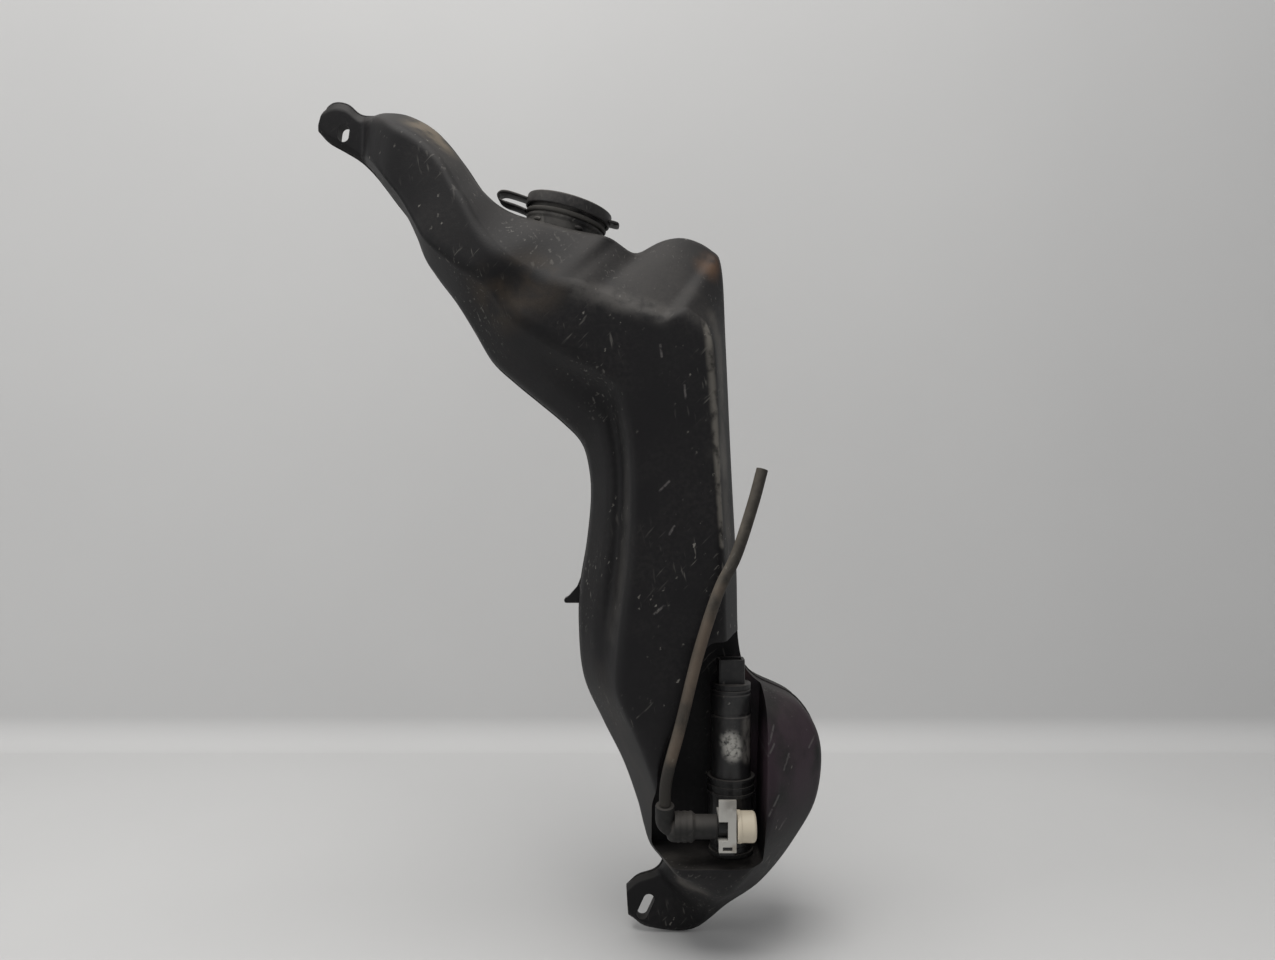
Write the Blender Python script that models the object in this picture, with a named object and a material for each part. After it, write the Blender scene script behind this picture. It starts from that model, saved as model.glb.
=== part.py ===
"""Screen-washer reservoir of a car: blow-moulded tank, snap lid, electric pump, outlet fitting and hose.

Metres, +Z up, +Y away from the viewer. The origin lies on the rear seating face of the lower ear.
"""

import math
from typing import NamedTuple

import bmesh
import bpy
import numpy as np
from mathutils import Matrix, Vector

# Fits
CLEARANCE = 0.0003
SHAFT_FIT = 0.00015
AIR_GAP = 0.0005
ROUND_STEPS = 32
SMALL_STEPS = 20

# Tank
WALL = 0.003
EAR_THICKNESS = 0.008
FRONT_DEPTH = 0.056
BACK_DEPTH = 0.034
BACK_BEVEL = 0.016
EDGE_SOFTNESS = 0.009
STEP_LEVEL = 0.60
PARTING_Y = -EAR_THICKNESS / 2
FRONT_Y = PARTING_Y - FRONT_DEPTH
CAVITY_STATIONS = (5.0, 26.4)

# Bolt slots of the ears: centre in X and Z, length and lean from upright
SLOT_WIDTH = 0.0066
UPPER_SLOT = (-0.1935, 0.4635)
UPPER_SLOT_LENGTH = 0.0105
UPPER_SLOT_LEAN = math.radians(8)
LOWER_SLOT = (-0.0135, 0.0025)
LOWER_SLOT_LENGTH = 0.0160
LOWER_SLOT_LEAN = math.radians(25)

# Filler neck, in its own leaning frame from the base centre upwards
NECK_BASE = (-0.063, -0.014, 0.3985)
NECK_LEAN = math.radians(14.5)
NECK_BORE = 0.040
NECK_WALL = 0.0025
NECK_ROOT = 0.018
BEAD_OUT = 0.0007
BEAD_HEIGHT = 0.0013
COLLAR_LEVEL = 0.0088
COLLAR_HEIGHT = 0.003
COLLAR_WALL = 0.0017

# Lid
SKIRT_LEVEL = 0.0135
SKIRT_HEIGHT = 0.0068
SKIRT_WALL = 0.0014
SKIRT_SWING_GAP = 0.0007
LID_PLATE = 0.002
LID_DOME = 0.0008
PLUG_DEPTH = 0.007
PLUG_WALL = 0.0014
PLUG_SWING_GAP = 0.0012
SEAL_HEIGHT = 0.0015
TAB_LENGTH = 0.0055
TAB_WIDTH = 0.012
STRAP_WIDTH = 0.012
STRAP_THICKNESS = 0.0018
STRAP_REACH = 0.0165
FOLD_LEVEL = 0.0150
FOLD_GAP = 0.0018

# Pump pocket and pump, from the pocket's ledge upwards on the pump's axis
POCKET_DEPTH = 0.0415
PUMP_TO_FLOOR = 0.0155
PUMP_INSET = POCKET_DEPTH - PUMP_TO_FLOOR
PUMP_SEAT = (0.0347, FRONT_Y + PUMP_INSET, 0.046)
POCKET_CORNER = 0.003
GROMMET_HOLE = 0.019
GROMMET_BORE = 0.013
GROMMET_FLANGE = 0.0027
GROMMET_LAND = 0.0035
STRAINER_LENGTH = 0.0060
STRAINER_WALL = 0.0009
INLET_BORE = 0.008
INLET_LENGTH = 0.008
BASE_FLANGE = 0.0027
CHAMBER_DIAMETER = 0.0164
CHAMBER_HEIGHT = 0.0075
HOUSING_WALL = 0.0036
PARTITION = 0.004
SLEEVE_WALL = 0.0012
SLEEVE_LENGTH = 0.026
SLEEVE_RIBS = 3
RIB_OUT = 0.0007
RIB_HEIGHT = 0.0016
CAN_DIAMETER = 0.0225
CAN_LENGTH = 0.073
CAN_WALL = 0.0012
CAN_SEAL_HEIGHT = 0.0016
SHAFT_DIAMETER = 0.002
BUSH_WALL = 0.0017
BUSH_LENGTH = 0.004
MAGNET_THICKNESS = 0.0025
MAGNET_LENGTH = 0.034
MAGNET_SPAN = math.radians(130)
CORE_LENGTH = 0.028
CORE_POLES = 5
WINDING_HEIGHT = 0.004
COMMUTATOR_DIAMETER = 0.0060
COMMUTATOR_LENGTH = 0.005
BRUSH_WIDTH = 0.003
BRUSH_PLATE = 0.002
COVER_PLUG = 0.011
COVER_FLANGE = 0.0027
SOCKET_SIZE = (0.0150, 0.0110)
SOCKET_DEPTH = 0.0135
SOCKET_WALL = 0.0015
TERMINAL_SIZE = (0.0008, 0.0048)
TERMINAL_LENGTH = 0.0075
TERMINAL_PITCH = 0.006
IMPELLER_BLADES = 6

# Outlet barrel across the front of the pump, and what is fitted on it
BARREL_LEVEL = 0.0224
BARREL_DIAMETER = 0.010
BARREL_SPAN = (-0.0094, 0.0004)
SPIGOT_DIAMETER = 0.0072
SPIGOT_LENGTH = 0.0140
STUB_LENGTH = 0.0075
OUTLET_BORE = 0.004
ELBOW_REACH = 0.0382
ELBOW_SLEEVE = 0.013
ELBOW_CUFF = 0.016
ELBOW_ARM = 0.0105
ELBOW_ARM_LENGTH = 0.0130
ELBOW_LEAN = math.radians(14)
CUFF_SPAN = (0.0030, 0.0160)
O_RING_SECTION = 0.0012
CAP_DIAMETER = 0.0175
CAP_LENGTH = 0.0105
CAP_WALL = 0.0016
CLIP_THICKNESS = 0.0022
CLIP_TOP = 0.0165
CLIP_BOTTOM = 0.0115
CLIP_BAR = 0.0045
CLIP_NOTCH = 0.0050

# Hose
HOSE_DIAMETER = 0.0064
HOSE_SPACING = 2.4
HOSE_ROUTE = (
    (-0.0031, FRONT_Y - 0.0014, 0.0925),
    (-0.0010, FRONT_Y - 0.0035, 0.1040),
    (0.0028, FRONT_Y - 0.0042, 0.1180),
    (0.0062, FRONT_Y - 0.0042, 0.1310),
    (0.0146, FRONT_Y - 0.0044, 0.1650),
    (0.0250, FRONT_Y - 0.0048, 0.1970),
    (0.0345, FRONT_Y - 0.0045, 0.2165),
    (0.0434, FRONT_Y - 0.0020, 0.2425),
    (0.0492, FRONT_Y + 0.0010, 0.2625),
)


class Station(NamedTuple):
    """One cut across the tank, from its left edge to its right edge in the parting plane.

    left and right are X and Z. swell is 0 on a flat ear and 1 at full depth. A cut is the width of the
    front bevel beside an edge, and a wall is the share of the depth that stands upright below that bevel.
    step turns the left bevel into a lower shelf with a riser.
    """

    left: tuple[float, float]
    right: tuple[float, float]
    swell: float
    left_cut: float
    left_wall: float
    right_cut: float
    right_wall: float
    step: float


STATIONS = (
    Station((-0.2094, 0.4655), (-0.2060, 0.4780), 0.00, 0.003, 0.40, 0.004, 0.25, 0.0),
    Station((-0.2030, 0.4595), (-0.2000, 0.4825), 0.00, 0.003, 0.40, 0.005, 0.20, 0.0),
    Station((-0.1926, 0.4536), (-0.1920, 0.4815), 0.00, 0.003, 0.40, 0.005, 0.20, 0.0),
    Station((-0.1830, 0.4475), (-0.1830, 0.4750), 0.00, 0.003, 0.40, 0.005, 0.20, 0.0),
    Station((-0.1740, 0.4385), (-0.1670, 0.4746), 0.40, 0.006, 0.50, 0.010, 0.30, 0.0),
    Station((-0.1626, 0.4236), (-0.1520, 0.4715), 0.62, 0.008, 0.55, 0.016, 0.30, 0.0),
    Station((-0.1520, 0.4095), (-0.1360, 0.4620), 0.68, 0.009, 0.55, 0.015, 0.30, 0.0),
    Station((-0.1455, 0.3960), (-0.1220, 0.4450), 0.74, 0.010, 0.50, 0.012, 0.30, 0.0),
    Station((-0.1400, 0.3820), (-0.1090, 0.4265), 0.82, 0.014, 0.42, 0.013, 0.35, 0.0),
    Station((-0.1260, 0.3630), (-0.0920, 0.4115), 0.92, 0.020, 0.34, 0.022, 0.50, 0.0),
    Station((-0.1152, 0.3456), (-0.0660, 0.4050), 1.00, 0.024, 0.28, 0.035, 0.62, 0.0),
    Station((-0.1044, 0.3276), (-0.0380, 0.3990), 1.00, 0.026, 0.26, 0.042, 0.62, 0.0),
    Station((-0.0910, 0.3150), (-0.0270, 0.3898), 1.00, 0.028, 0.26, 0.041, 0.50, 0.0),
    Station((-0.0770, 0.3035), (-0.0120, 0.3925), 1.00, 0.030, 0.26, 0.048, 0.40, 0.2),
    Station((-0.0620, 0.2910), (0.0085, 0.3980), 1.00, 0.034, 0.26, 0.058, 0.34, 0.5),
    Station((-0.0510, 0.2790), (0.0245, 0.3915), 1.00, 0.037, 0.26, 0.056, 0.32, 0.8),
    Station((-0.0465, 0.2630), (0.0310, 0.3800), 1.00, 0.038, 0.26, 0.040, 0.32, 1.0),
    Station((-0.0456, 0.2450), (0.0332, 0.3350), 1.00, 0.036, 0.26, 0.015, 0.34, 1.0),
    Station((-0.0480, 0.2200), (0.0360, 0.2700), 1.00, 0.031, 0.26, 0.012, 0.36, 1.0),
    Station((-0.0520, 0.1950), (0.0392, 0.2080), 1.00, 0.028, 0.26, 0.011, 0.36, 1.0),
    Station((-0.0528, 0.1700), (0.0410, 0.1600), 1.00, 0.025, 0.25, 0.011, 0.36, 0.7),
    Station((-0.0500, 0.1410), (0.0500, 0.1410), 1.00, 0.022, 0.22, 0.014, 0.36, 0.1),
    Station((-0.0390, 0.1158), (0.0760, 0.1268), 1.00, 0.021, 0.20, 0.028, 0.34, 0.0),
    Station((-0.0270, 0.0918), (0.0885, 0.1040), 1.00, 0.018, 0.20, 0.034, 0.32, 0.0),
    Station((-0.0180, 0.0670), (0.0865, 0.0730), 1.00, 0.016, 0.22, 0.034, 0.32, 0.0),
    Station((-0.0114, 0.0440), (0.0735, 0.0490), 0.98, 0.013, 0.24, 0.030, 0.34, 0.0),
    Station((-0.0020, 0.0385), (0.0555, 0.0240), 0.84, 0.010, 0.28, 0.024, 0.32, 0.0),
    Station((-0.0030, 0.0290), (0.0350, 0.0050), 0.38, 0.007, 0.34, 0.014, 0.30, 0.0),
    Station((-0.0080, 0.0232), (0.0150, -0.0115), 0.00, 0.003, 0.40, 0.003, 0.40, 0.0),
    Station((-0.0185, 0.0195), (-0.0110, -0.0105), 0.00, 0.003, 0.40, 0.003, 0.40, 0.0),
    Station((-0.0250, 0.0140), (-0.0238, -0.0035), 0.00, 0.003, 0.40, 0.003, 0.40, 0.0),
)
ROWS_PER_STATION = 2

# Pump pocket in X and Z, as offsets from the pump's seat; its top right corner runs out of the tank's side
POCKET_OUTLINE = (
    (-0.0450, 0.0000),
    (-0.0450, 0.0300),
    (-0.0410, 0.0530),
    (-0.0360, 0.0710),
    (-0.0270, 0.0860),
    (-0.0205, 0.1120),
    (-0.0140, 0.1220),
    (0.0270, 0.1270),
    (0.0190, 0.1010),
    (0.0175, 0.0660),
    (0.0165, 0.0300),
    (0.0160, 0.0000),
)

# Locating hook on the tank's left edge, in X and Z
HOOK_OUTLINE = (
    (-0.0440, 0.2180),
    (-0.0505, 0.2030),
    (-0.0545, 0.1930),
    (-0.0600, 0.1868),
    (-0.0622, 0.1860),
    (-0.0618, 0.1835),
    (-0.0440, 0.1835),
)


# Numbers along the tank


def flowing(values, at):
    """A smooth curve through the stations' values."""
    v = np.asarray(values, float)
    padded = np.concatenate([2 * v[:1] - v[1:2], v, 2 * v[-1:] - v[-2:-1]])
    i = np.minimum(at.astype(int), len(v) - 2)
    t = (at - i).reshape((-1,) + (1,) * (v.ndim - 1))
    a, b, c, d = padded[i], padded[i + 1], padded[i + 2], padded[i + 3]
    cubic = (3 * b - a - 3 * c + d) * t**3 + (2 * a - 5 * b + 4 * c - d) * t**2
    return 0.5 * (2 * b + (c - a) * t + cubic)


def easing(values, at):
    """A curve through the stations' values that never passes beyond its neighbours."""
    v = np.asarray(values, float)
    rise = np.diff(v)
    both = rise[:-1] * rise[1:]
    mean = np.where(both > 0, 2 * both / np.where(both > 0, rise[:-1] + rise[1:], 1), 0)
    slope = np.concatenate([[0], mean, [0]])
    i = np.minimum(at.astype(int), len(v) - 2)
    t = at - i
    start, end = v[i], v[i + 1]
    return (
        start * (1 + 2 * t) * (1 - t) ** 2
        + slope[i] * t * (1 - t) ** 2
        + end * t**2 * (3 - 2 * t)
        + slope[i + 1] * t**2 * (t - 1)
    )


def rounded_corners(control, soft, steps):
    """Replaces each corner of each row's polygon by a small parabola of the given number of points.

    The two parting points, first and eighth, lie on straight walls and stay single.
    """
    before = np.roll(control, 1, axis=1) - control
    after = np.roll(control, -1, axis=1) - control
    length_before = np.linalg.norm(before, axis=2, keepdims=True)
    length_after = np.linalg.norm(after, axis=2, keepdims=True)
    start = control + before / length_before * np.minimum(soft, 0.45 * length_before)
    end = control + after / length_after * np.minimum(soft, 0.45 * length_after)
    rows = []
    for k in range(control.shape[1]):
        if k in (0, 7):
            rows.append(control[:, k])
            continue
        for t in np.linspace(0, 1, steps):
            rows.append((1 - t) ** 2 * start[:, k] + 2 * t * (1 - t) * control[:, k] + t**2 * end[:, k])
    return np.stack(rows, axis=1)


def tank_rings(at, corner_steps):
    """Rings of points round the tank at the given places along its stations, as rows x points x 3."""
    left = flowing([s.left for s in STATIONS], at)
    right = flowing([s.right for s in STATIONS], at)
    swell, left_cut, left_wall, right_cut, right_wall, step = (
        easing([getattr(s, name) for s in STATIONS], at) for name in Station._fields[2:]
    )
    width = np.linalg.norm(right - left, axis=1)
    ear_half = EAR_THICKNESS / 2
    front = ear_half + swell * (FRONT_DEPTH - ear_half)
    back = ear_half + swell * (BACK_DEPTH - ear_half)
    bevel = np.minimum(BACK_BEVEL, 0.6 * back)
    low, high = left_wall * front, right_wall * front
    none = np.zeros_like(width)

    def on_bevel(share, stepped_share, level):
        plain = np.stack([left_cut * share, low + (front - low) * share], axis=1)
        stepped = np.stack([left_cut * stepped_share, front * level], axis=1)
        return plain + (stepped - plain) * step[:, None]

    control = np.stack(
        [
            np.stack([none, none], axis=1),
            np.stack([none, low], axis=1),
            on_bevel(0.36, 0.48, STEP_LEVEL),
            on_bevel(0.72, 0.76, STEP_LEVEL),
            np.stack([left_cut, front], axis=1),
            np.stack([width - right_cut, front], axis=1),
            np.stack([width, high], axis=1),
            np.stack([width, none], axis=1),
            np.stack([width, -back / 2], axis=1),
            np.stack([width - bevel, -back], axis=1),
            np.stack([bevel, -back], axis=1),
            np.stack([none, -back / 2], axis=1),
        ],
        axis=1,
    )
    soft = np.minimum(EDGE_SOFTNESS, 0.4 * front)[:, None, None]
    flat = rounded_corners(control, soft, corner_steps)
    along = (right - left) / width[:, None]
    xz = left[:, None, :] + along[:, None, :] * flat[:, :, :1]
    return np.stack([xz[..., 0], PARTING_Y - flat[..., 1], xz[..., 1]], axis=2)


def inset(rings, distance):
    """The rings moved inwards along the surface's normals."""
    along = np.gradient(rings, axis=0)
    around = np.roll(rings, -1, axis=1) - np.roll(rings, 1, axis=1)
    normal = np.cross(along, around)
    normal /= np.linalg.norm(normal, axis=2, keepdims=True)
    outward = np.sum(normal * (rings - rings.mean(axis=1, keepdims=True)), axis=2).sum() > 0
    return rings - normal * (distance if outward else -distance)


# Meshes and objects


def finish(name, colour, roughness, metallic=0.0):
    """A Principled material."""
    material = bpy.data.materials.new(name)
    material.use_nodes = True
    shader = material.node_tree.nodes["Principled BSDF"]
    shader.inputs["Base Color"].default_value = (*colour, 1.0)
    shader.inputs["Roughness"].default_value = roughness
    shader.inputs["Metallic"].default_value = metallic
    return material


def placed(name, bm, material=None, parent=None, sharp=30):
    """A smooth-shaded object from a bmesh. Without a material it is a hidden cutter or guide."""
    bmesh.ops.recalc_face_normals(bm, faces=bm.faces)
    mesh = bpy.data.meshes.new(name)
    bm.to_mesh(mesh)
    bm.free()
    mesh.shade_smooth()
    mesh.set_sharp_from_angle(angle=math.radians(sharp))
    obj = bpy.data.objects.new(name, mesh)
    bpy.context.scene.collection.objects.link(obj)
    obj.parent = parent
    if material:
        mesh.materials.append(material)
    else:
        obj.hide_render = True
        obj.display_type = "WIRE"
    return obj


def axis_empty(name, location, rotation=(0, 0, 0), parent=None):
    """An empty that carries the pieces of one axis."""
    empty = bpy.data.objects.new(name, None)
    bpy.context.scene.collection.objects.link(empty)
    empty.location = location
    empty.rotation_euler = rotation
    empty.parent = parent
    return empty


def cut(target, cutter, operation="DIFFERENCE"):
    """Adds a Boolean to the target."""
    modifier = target.modifiers.new(cutter.name, "BOOLEAN")
    modifier.operation = operation
    modifier.solver = "EXACT"
    modifier.object = cutter


def lofted(rings):
    """A closed bmesh through rings of points, with flat ends."""
    bm = bmesh.new()
    loops = [[bm.verts.new(p) for p in ring] for ring in rings]
    count = len(loops[0])
    for one, two in zip(loops, loops[1:]):
        for k in range(count):
            bm.faces.new((one[k], one[(k + 1) % count], two[(k + 1) % count], two[k]))
    bm.faces.new(loops[0])
    bm.faces.new(loops[-1])
    return bm


def turned(profile, steps=ROUND_STEPS, turn=None):
    """A bmesh turned about Z from a closed profile of (radius, height), then placed by a matrix."""
    bm = bmesh.new()
    verts = [bm.verts.new((r, 0, z)) for r, z in profile]
    edges = [bm.edges.new((a, b)) for a, b in zip(verts, verts[1:] + verts[:1])]
    bmesh.ops.spin(
        bm,
        geom=verts + edges,
        cent=(0, 0, 0),
        axis=(0, 0, 1),
        angle=2 * math.pi,
        steps=steps,
        use_merge=True,
    )
    bmesh.ops.remove_doubles(bm, verts=bm.verts, dist=1e-7)
    bmesh.ops.dissolve_degenerate(bm, edges=bm.edges, dist=1e-7)
    if turn:
        bmesh.ops.transform(bm, matrix=turn, verts=bm.verts)
    return bm


def tube(inner, outer, low, high):
    """The closed profile of a plain ring; an inner radius of 0 gives a solid cylinder."""
    return [(inner, low), (outer, low), (outer, high), (inner, high)]


def drill(radius, low, high, steps=SMALL_STEPS, turn=None):
    """A solid cylinder for cutting, turned a little so that its corners miss those of round pieces."""
    aside = Matrix.Rotation(0.74 * math.pi / steps, 4, "Z")
    return turned(tube(0, radius, low, high), steps, turn @ aside if turn else aside)


def prism(outline, low, high, axis="Z"):
    """A bmesh extruded from an outline: in X, Y along Z, in X, Z along Y, or in Y, Z along X."""
    place = {
        "Z": lambda u, v: (u, v, low),
        "Y": lambda u, v: (u, low, v),
        "X": lambda u, v: (low, u, v),
    }[axis]
    along = {"Z": (0, 0, 1), "Y": (0, 1, 0), "X": (1, 0, 0)}[axis]
    bm = bmesh.new()
    face = bm.faces.new([bm.verts.new(place(u, v)) for u, v in outline])
    grown = bmesh.ops.extrude_face_region(bm, geom=[face])["geom"]
    moved = [v for v in grown if isinstance(v, bmesh.types.BMVert)]
    bmesh.ops.translate(bm, vec=Vector(along) * (high - low), verts=moved)
    return bm


def rectangle(x0, x1, y0, y1):
    """The outline of a rectangle."""
    return [(x0, y0), (x1, y0), (x1, y1), (x0, y1)]


def softened(outline, radius, steps=4):
    """An outline with each corner replaced by a parabola of about the given radius."""
    points = np.asarray(outline, float)
    result = []
    for k, corner in enumerate(points):
        before, after = points[k - 1] - corner, points[(k + 1) % len(points)] - corner
        a = corner + before * min(0.45, radius / np.linalg.norm(before))
        b = corner + after * min(0.45, radius / np.linalg.norm(after))
        for t in np.linspace(0, 1, steps):
            result.append(tuple((1 - t) ** 2 * a + 2 * t * (1 - t) * corner + t**2 * b))
    return result


def grown(outline, distance):
    """An outline moved outwards by a distance, square to each side."""
    points = np.asarray(outline, float)
    side = np.roll(points, -1, axis=0) - points
    side /= np.linalg.norm(side, axis=1, keepdims=True)
    area = np.sum(points[:, 0] * np.roll(points[:, 1], -1) - np.roll(points[:, 0], -1) * points[:, 1])
    normal = np.stack([side[:, 1], -side[:, 0]], axis=1) * np.sign(area)
    before = np.roll(normal, 1, axis=0)
    corner = (normal + before) / (1 + np.sum(normal * before, axis=1, keepdims=True))
    return [tuple(p) for p in points + corner * distance]


def slot_outline(centre, length, lean, steps=8):
    """A bolt slot's outline in X and Z: two half circles joined by straight sides."""
    radius = SLOT_WIDTH / 2
    run = length / 2 - radius
    along = np.array([math.sin(lean), math.cos(lean)])
    across = np.array([along[1], -along[0]])
    points = []
    for sign in (1, -1):
        for angle in np.linspace(0, math.pi, steps):
            swing = across * math.cos(angle) + along * math.sin(angle)
            points.append(tuple(np.asarray(centre) + sign * (along * run + swing * radius)))
    return points


ALONG_X = Matrix.Rotation(math.pi / 2, 4, "Y")

# Levels on the pump's axis, from the pocket's ledge upwards
GROMMET_TOP = CLEARANCE + GROMMET_FLANGE
BASE_LEVEL = GROMMET_TOP + CLEARANCE
CHAMBER_LEVEL = BASE_LEVEL + BASE_FLANGE + CLEARANCE
CHAMBER_TOP = CHAMBER_LEVEL + CHAMBER_HEIGHT
PARTITION_TOP = CHAMBER_TOP + PARTITION
CAN_LEVEL = PARTITION_TOP + CAN_SEAL_HEIGHT + 2 * CLEARANCE
CAN_TOP = CAN_LEVEL + CAN_LENGTH
CAN_RADIUS = CAN_DIAMETER / 2
CAN_INSIDE = CAN_RADIUS - CAN_WALL
SLEEVE_INSIDE = CAN_RADIUS + CLEARANCE
SLEEVE_RADIUS = SLEEVE_INSIDE + SLEEVE_WALL
SLEEVE_TOP = PARTITION_TOP + SLEEVE_LENGTH
MAGNET_INSIDE = CAN_INSIDE - CLEARANCE - MAGNET_THICKNESS
CORE_RADIUS = MAGNET_INSIDE - AIR_GAP
SHAFT_RADIUS = SHAFT_DIAMETER / 2
SHAFT_HOLE = SHAFT_RADIUS + SHAFT_FIT
BUSH_RADIUS = SHAFT_HOLE + BUSH_WALL
MOTOR_MIDDLE = CAN_LEVEL + 0.40 * CAN_LENGTH
CORE_LOW = MOTOR_MIDDLE - CORE_LENGTH / 2
CORE_HIGH = MOTOR_MIDDLE + CORE_LENGTH / 2
WINDING_TOP = CORE_HIGH + CLEARANCE + WINDING_HEIGHT
COMMUTATOR_LEVEL = WINDING_TOP + CLEARANCE
COMMUTATOR_TOP = COMMUTATOR_LEVEL + COMMUTATOR_LENGTH
BRUSH_PLATE_LEVEL = COMMUTATOR_TOP + CLEARANCE
COVER_LEVEL = CAN_TOP - COVER_PLUG
COVER_FLANGE_LEVEL = CAN_TOP + CLEARANCE
SOCKET_LEVEL = COVER_FLANGE_LEVEL + COVER_FLANGE
UPPER_BUSH_LEVEL = COVER_LEVEL + CLEARANCE
SHAFT_TOP = UPPER_BUSH_LEVEL + BUSH_LENGTH
BARREL_Y = -(SLEEVE_RADIUS + RIB_OUT + CLEARANCE + CAP_DIAMETER / 2)

# Levels and radii on the filler neck's axis
NECK_RADIUS = NECK_BORE / 2 + NECK_WALL
BEAD_RADIUS = NECK_RADIUS + BEAD_OUT
LID_TOP = SKIRT_LEVEL + SKIRT_HEIGHT
PLATE_LEVEL = LID_TOP - LID_PLATE
NECK_TOP = PLATE_LEVEL - SEAL_HEIGHT - 2 * CLEARANCE
SKIRT_INSIDE = BEAD_RADIUS + SKIRT_SWING_GAP
LID_RADIUS = SKIRT_INSIDE + SKIRT_WALL
PLUG_RADIUS = NECK_BORE / 2 - PLUG_SWING_GAP
COLLAR_INSIDE = NECK_RADIUS + CLEARANCE
COLLAR_RADIUS = COLLAR_INSIDE + COLLAR_WALL
FOLD_X = -(LID_RADIUS + STRAP_REACH)


# Tank


def build_tank(plastic, neck_axis, pump_axis):
    """The blow-moulded tank with its neck, ears, hook and pump pocket, hollow inside."""
    count = len(STATIONS)
    outside = tank_rings(np.linspace(0, count - 1, ROWS_PER_STATION * (count - 1) + 1), 3)
    tank = placed("tank_body", lofted(outside), plastic, sharp=40)

    neck = placed("neck_blank", turned(neck_profile()), parent=neck_axis)
    cut(tank, neck, "UNION")
    hook = placed("hook_blank", prism(HOOK_OUTLINE, -EAR_THICKNESS * 0.95, -EAR_THICKNESS * 0.05, "Y"))
    cut(tank, hook, "UNION")

    pocket = softened(POCKET_OUTLINE, POCKET_CORNER)
    front_y = -PUMP_INSET - POCKET_DEPTH
    floor_y = POCKET_DEPTH - PUMP_INSET
    cut(tank, placed("pump_pocket", prism(pocket, front_y, floor_y, "Y"), parent=pump_axis))

    first, last = CAVITY_STATIONS
    inside = inset(tank_rings(np.linspace(first, last, round(last - first) + 1), 2), WALL)
    cavity = placed("tank_cavity", lofted(inside))
    jacket = prism(grown(pocket, WALL), front_y, floor_y + WALL, "Y")
    cut(cavity, placed("pocket_jacket", jacket, parent=pump_axis))
    cut(tank, cavity)

    reach = NECK_ROOT * 2
    cut(tank, placed("neck_bore", drill(NECK_BORE / 2, -reach, reach, ROUND_STEPS), parent=neck_axis))
    hole = drill(GROMMET_HOLE / 2, -3 * WALL, WALL, ROUND_STEPS)
    cut(tank, placed("grommet_hole", hole, parent=pump_axis))
    slots = (
        ("upper_slot", UPPER_SLOT, UPPER_SLOT_LENGTH, UPPER_SLOT_LEAN),
        ("lower_slot", LOWER_SLOT, LOWER_SLOT_LENGTH, LOWER_SLOT_LEAN),
    )
    for name, centre, length, lean in slots:
        outline = slot_outline(centre, length, lean)
        cut(tank, placed(name, prism(outline, -2 * EAR_THICKNESS, EAR_THICKNESS, "Y")))


def neck_profile():
    """The filled neck: a rest bead below the collar and a snap bead under the lid."""
    rest = COLLAR_LEVEL - CLEARANCE
    snap = NECK_TOP - BEAD_HEIGHT
    return [
        (0, -NECK_ROOT),
        (NECK_RADIUS, -NECK_ROOT),
        (NECK_RADIUS, rest - 2 * BEAD_HEIGHT),
        (BEAD_RADIUS, rest - BEAD_HEIGHT),
        (BEAD_RADIUS, rest),
        (NECK_RADIUS, rest),
        (NECK_RADIUS, snap - BEAD_HEIGHT),
        (BEAD_RADIUS, snap),
        (NECK_RADIUS, NECK_TOP),
        (0, NECK_TOP),
    ]


# Filler lid with its collar: one moulding that folds at the middle of its strap


def strap_outline(route):
    """A strip of the strap's thickness along a route of points."""
    points = np.asarray(route, float)
    along = np.gradient(points, axis=0)
    along /= np.linalg.norm(along, axis=1, keepdims=True)
    across = np.stack([-along[:, 1], along[:, 0]], axis=1) * STRAP_THICKNESS / 2
    return [tuple(p) for p in np.concatenate([points + across, (points - across)[::-1]])]


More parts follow.
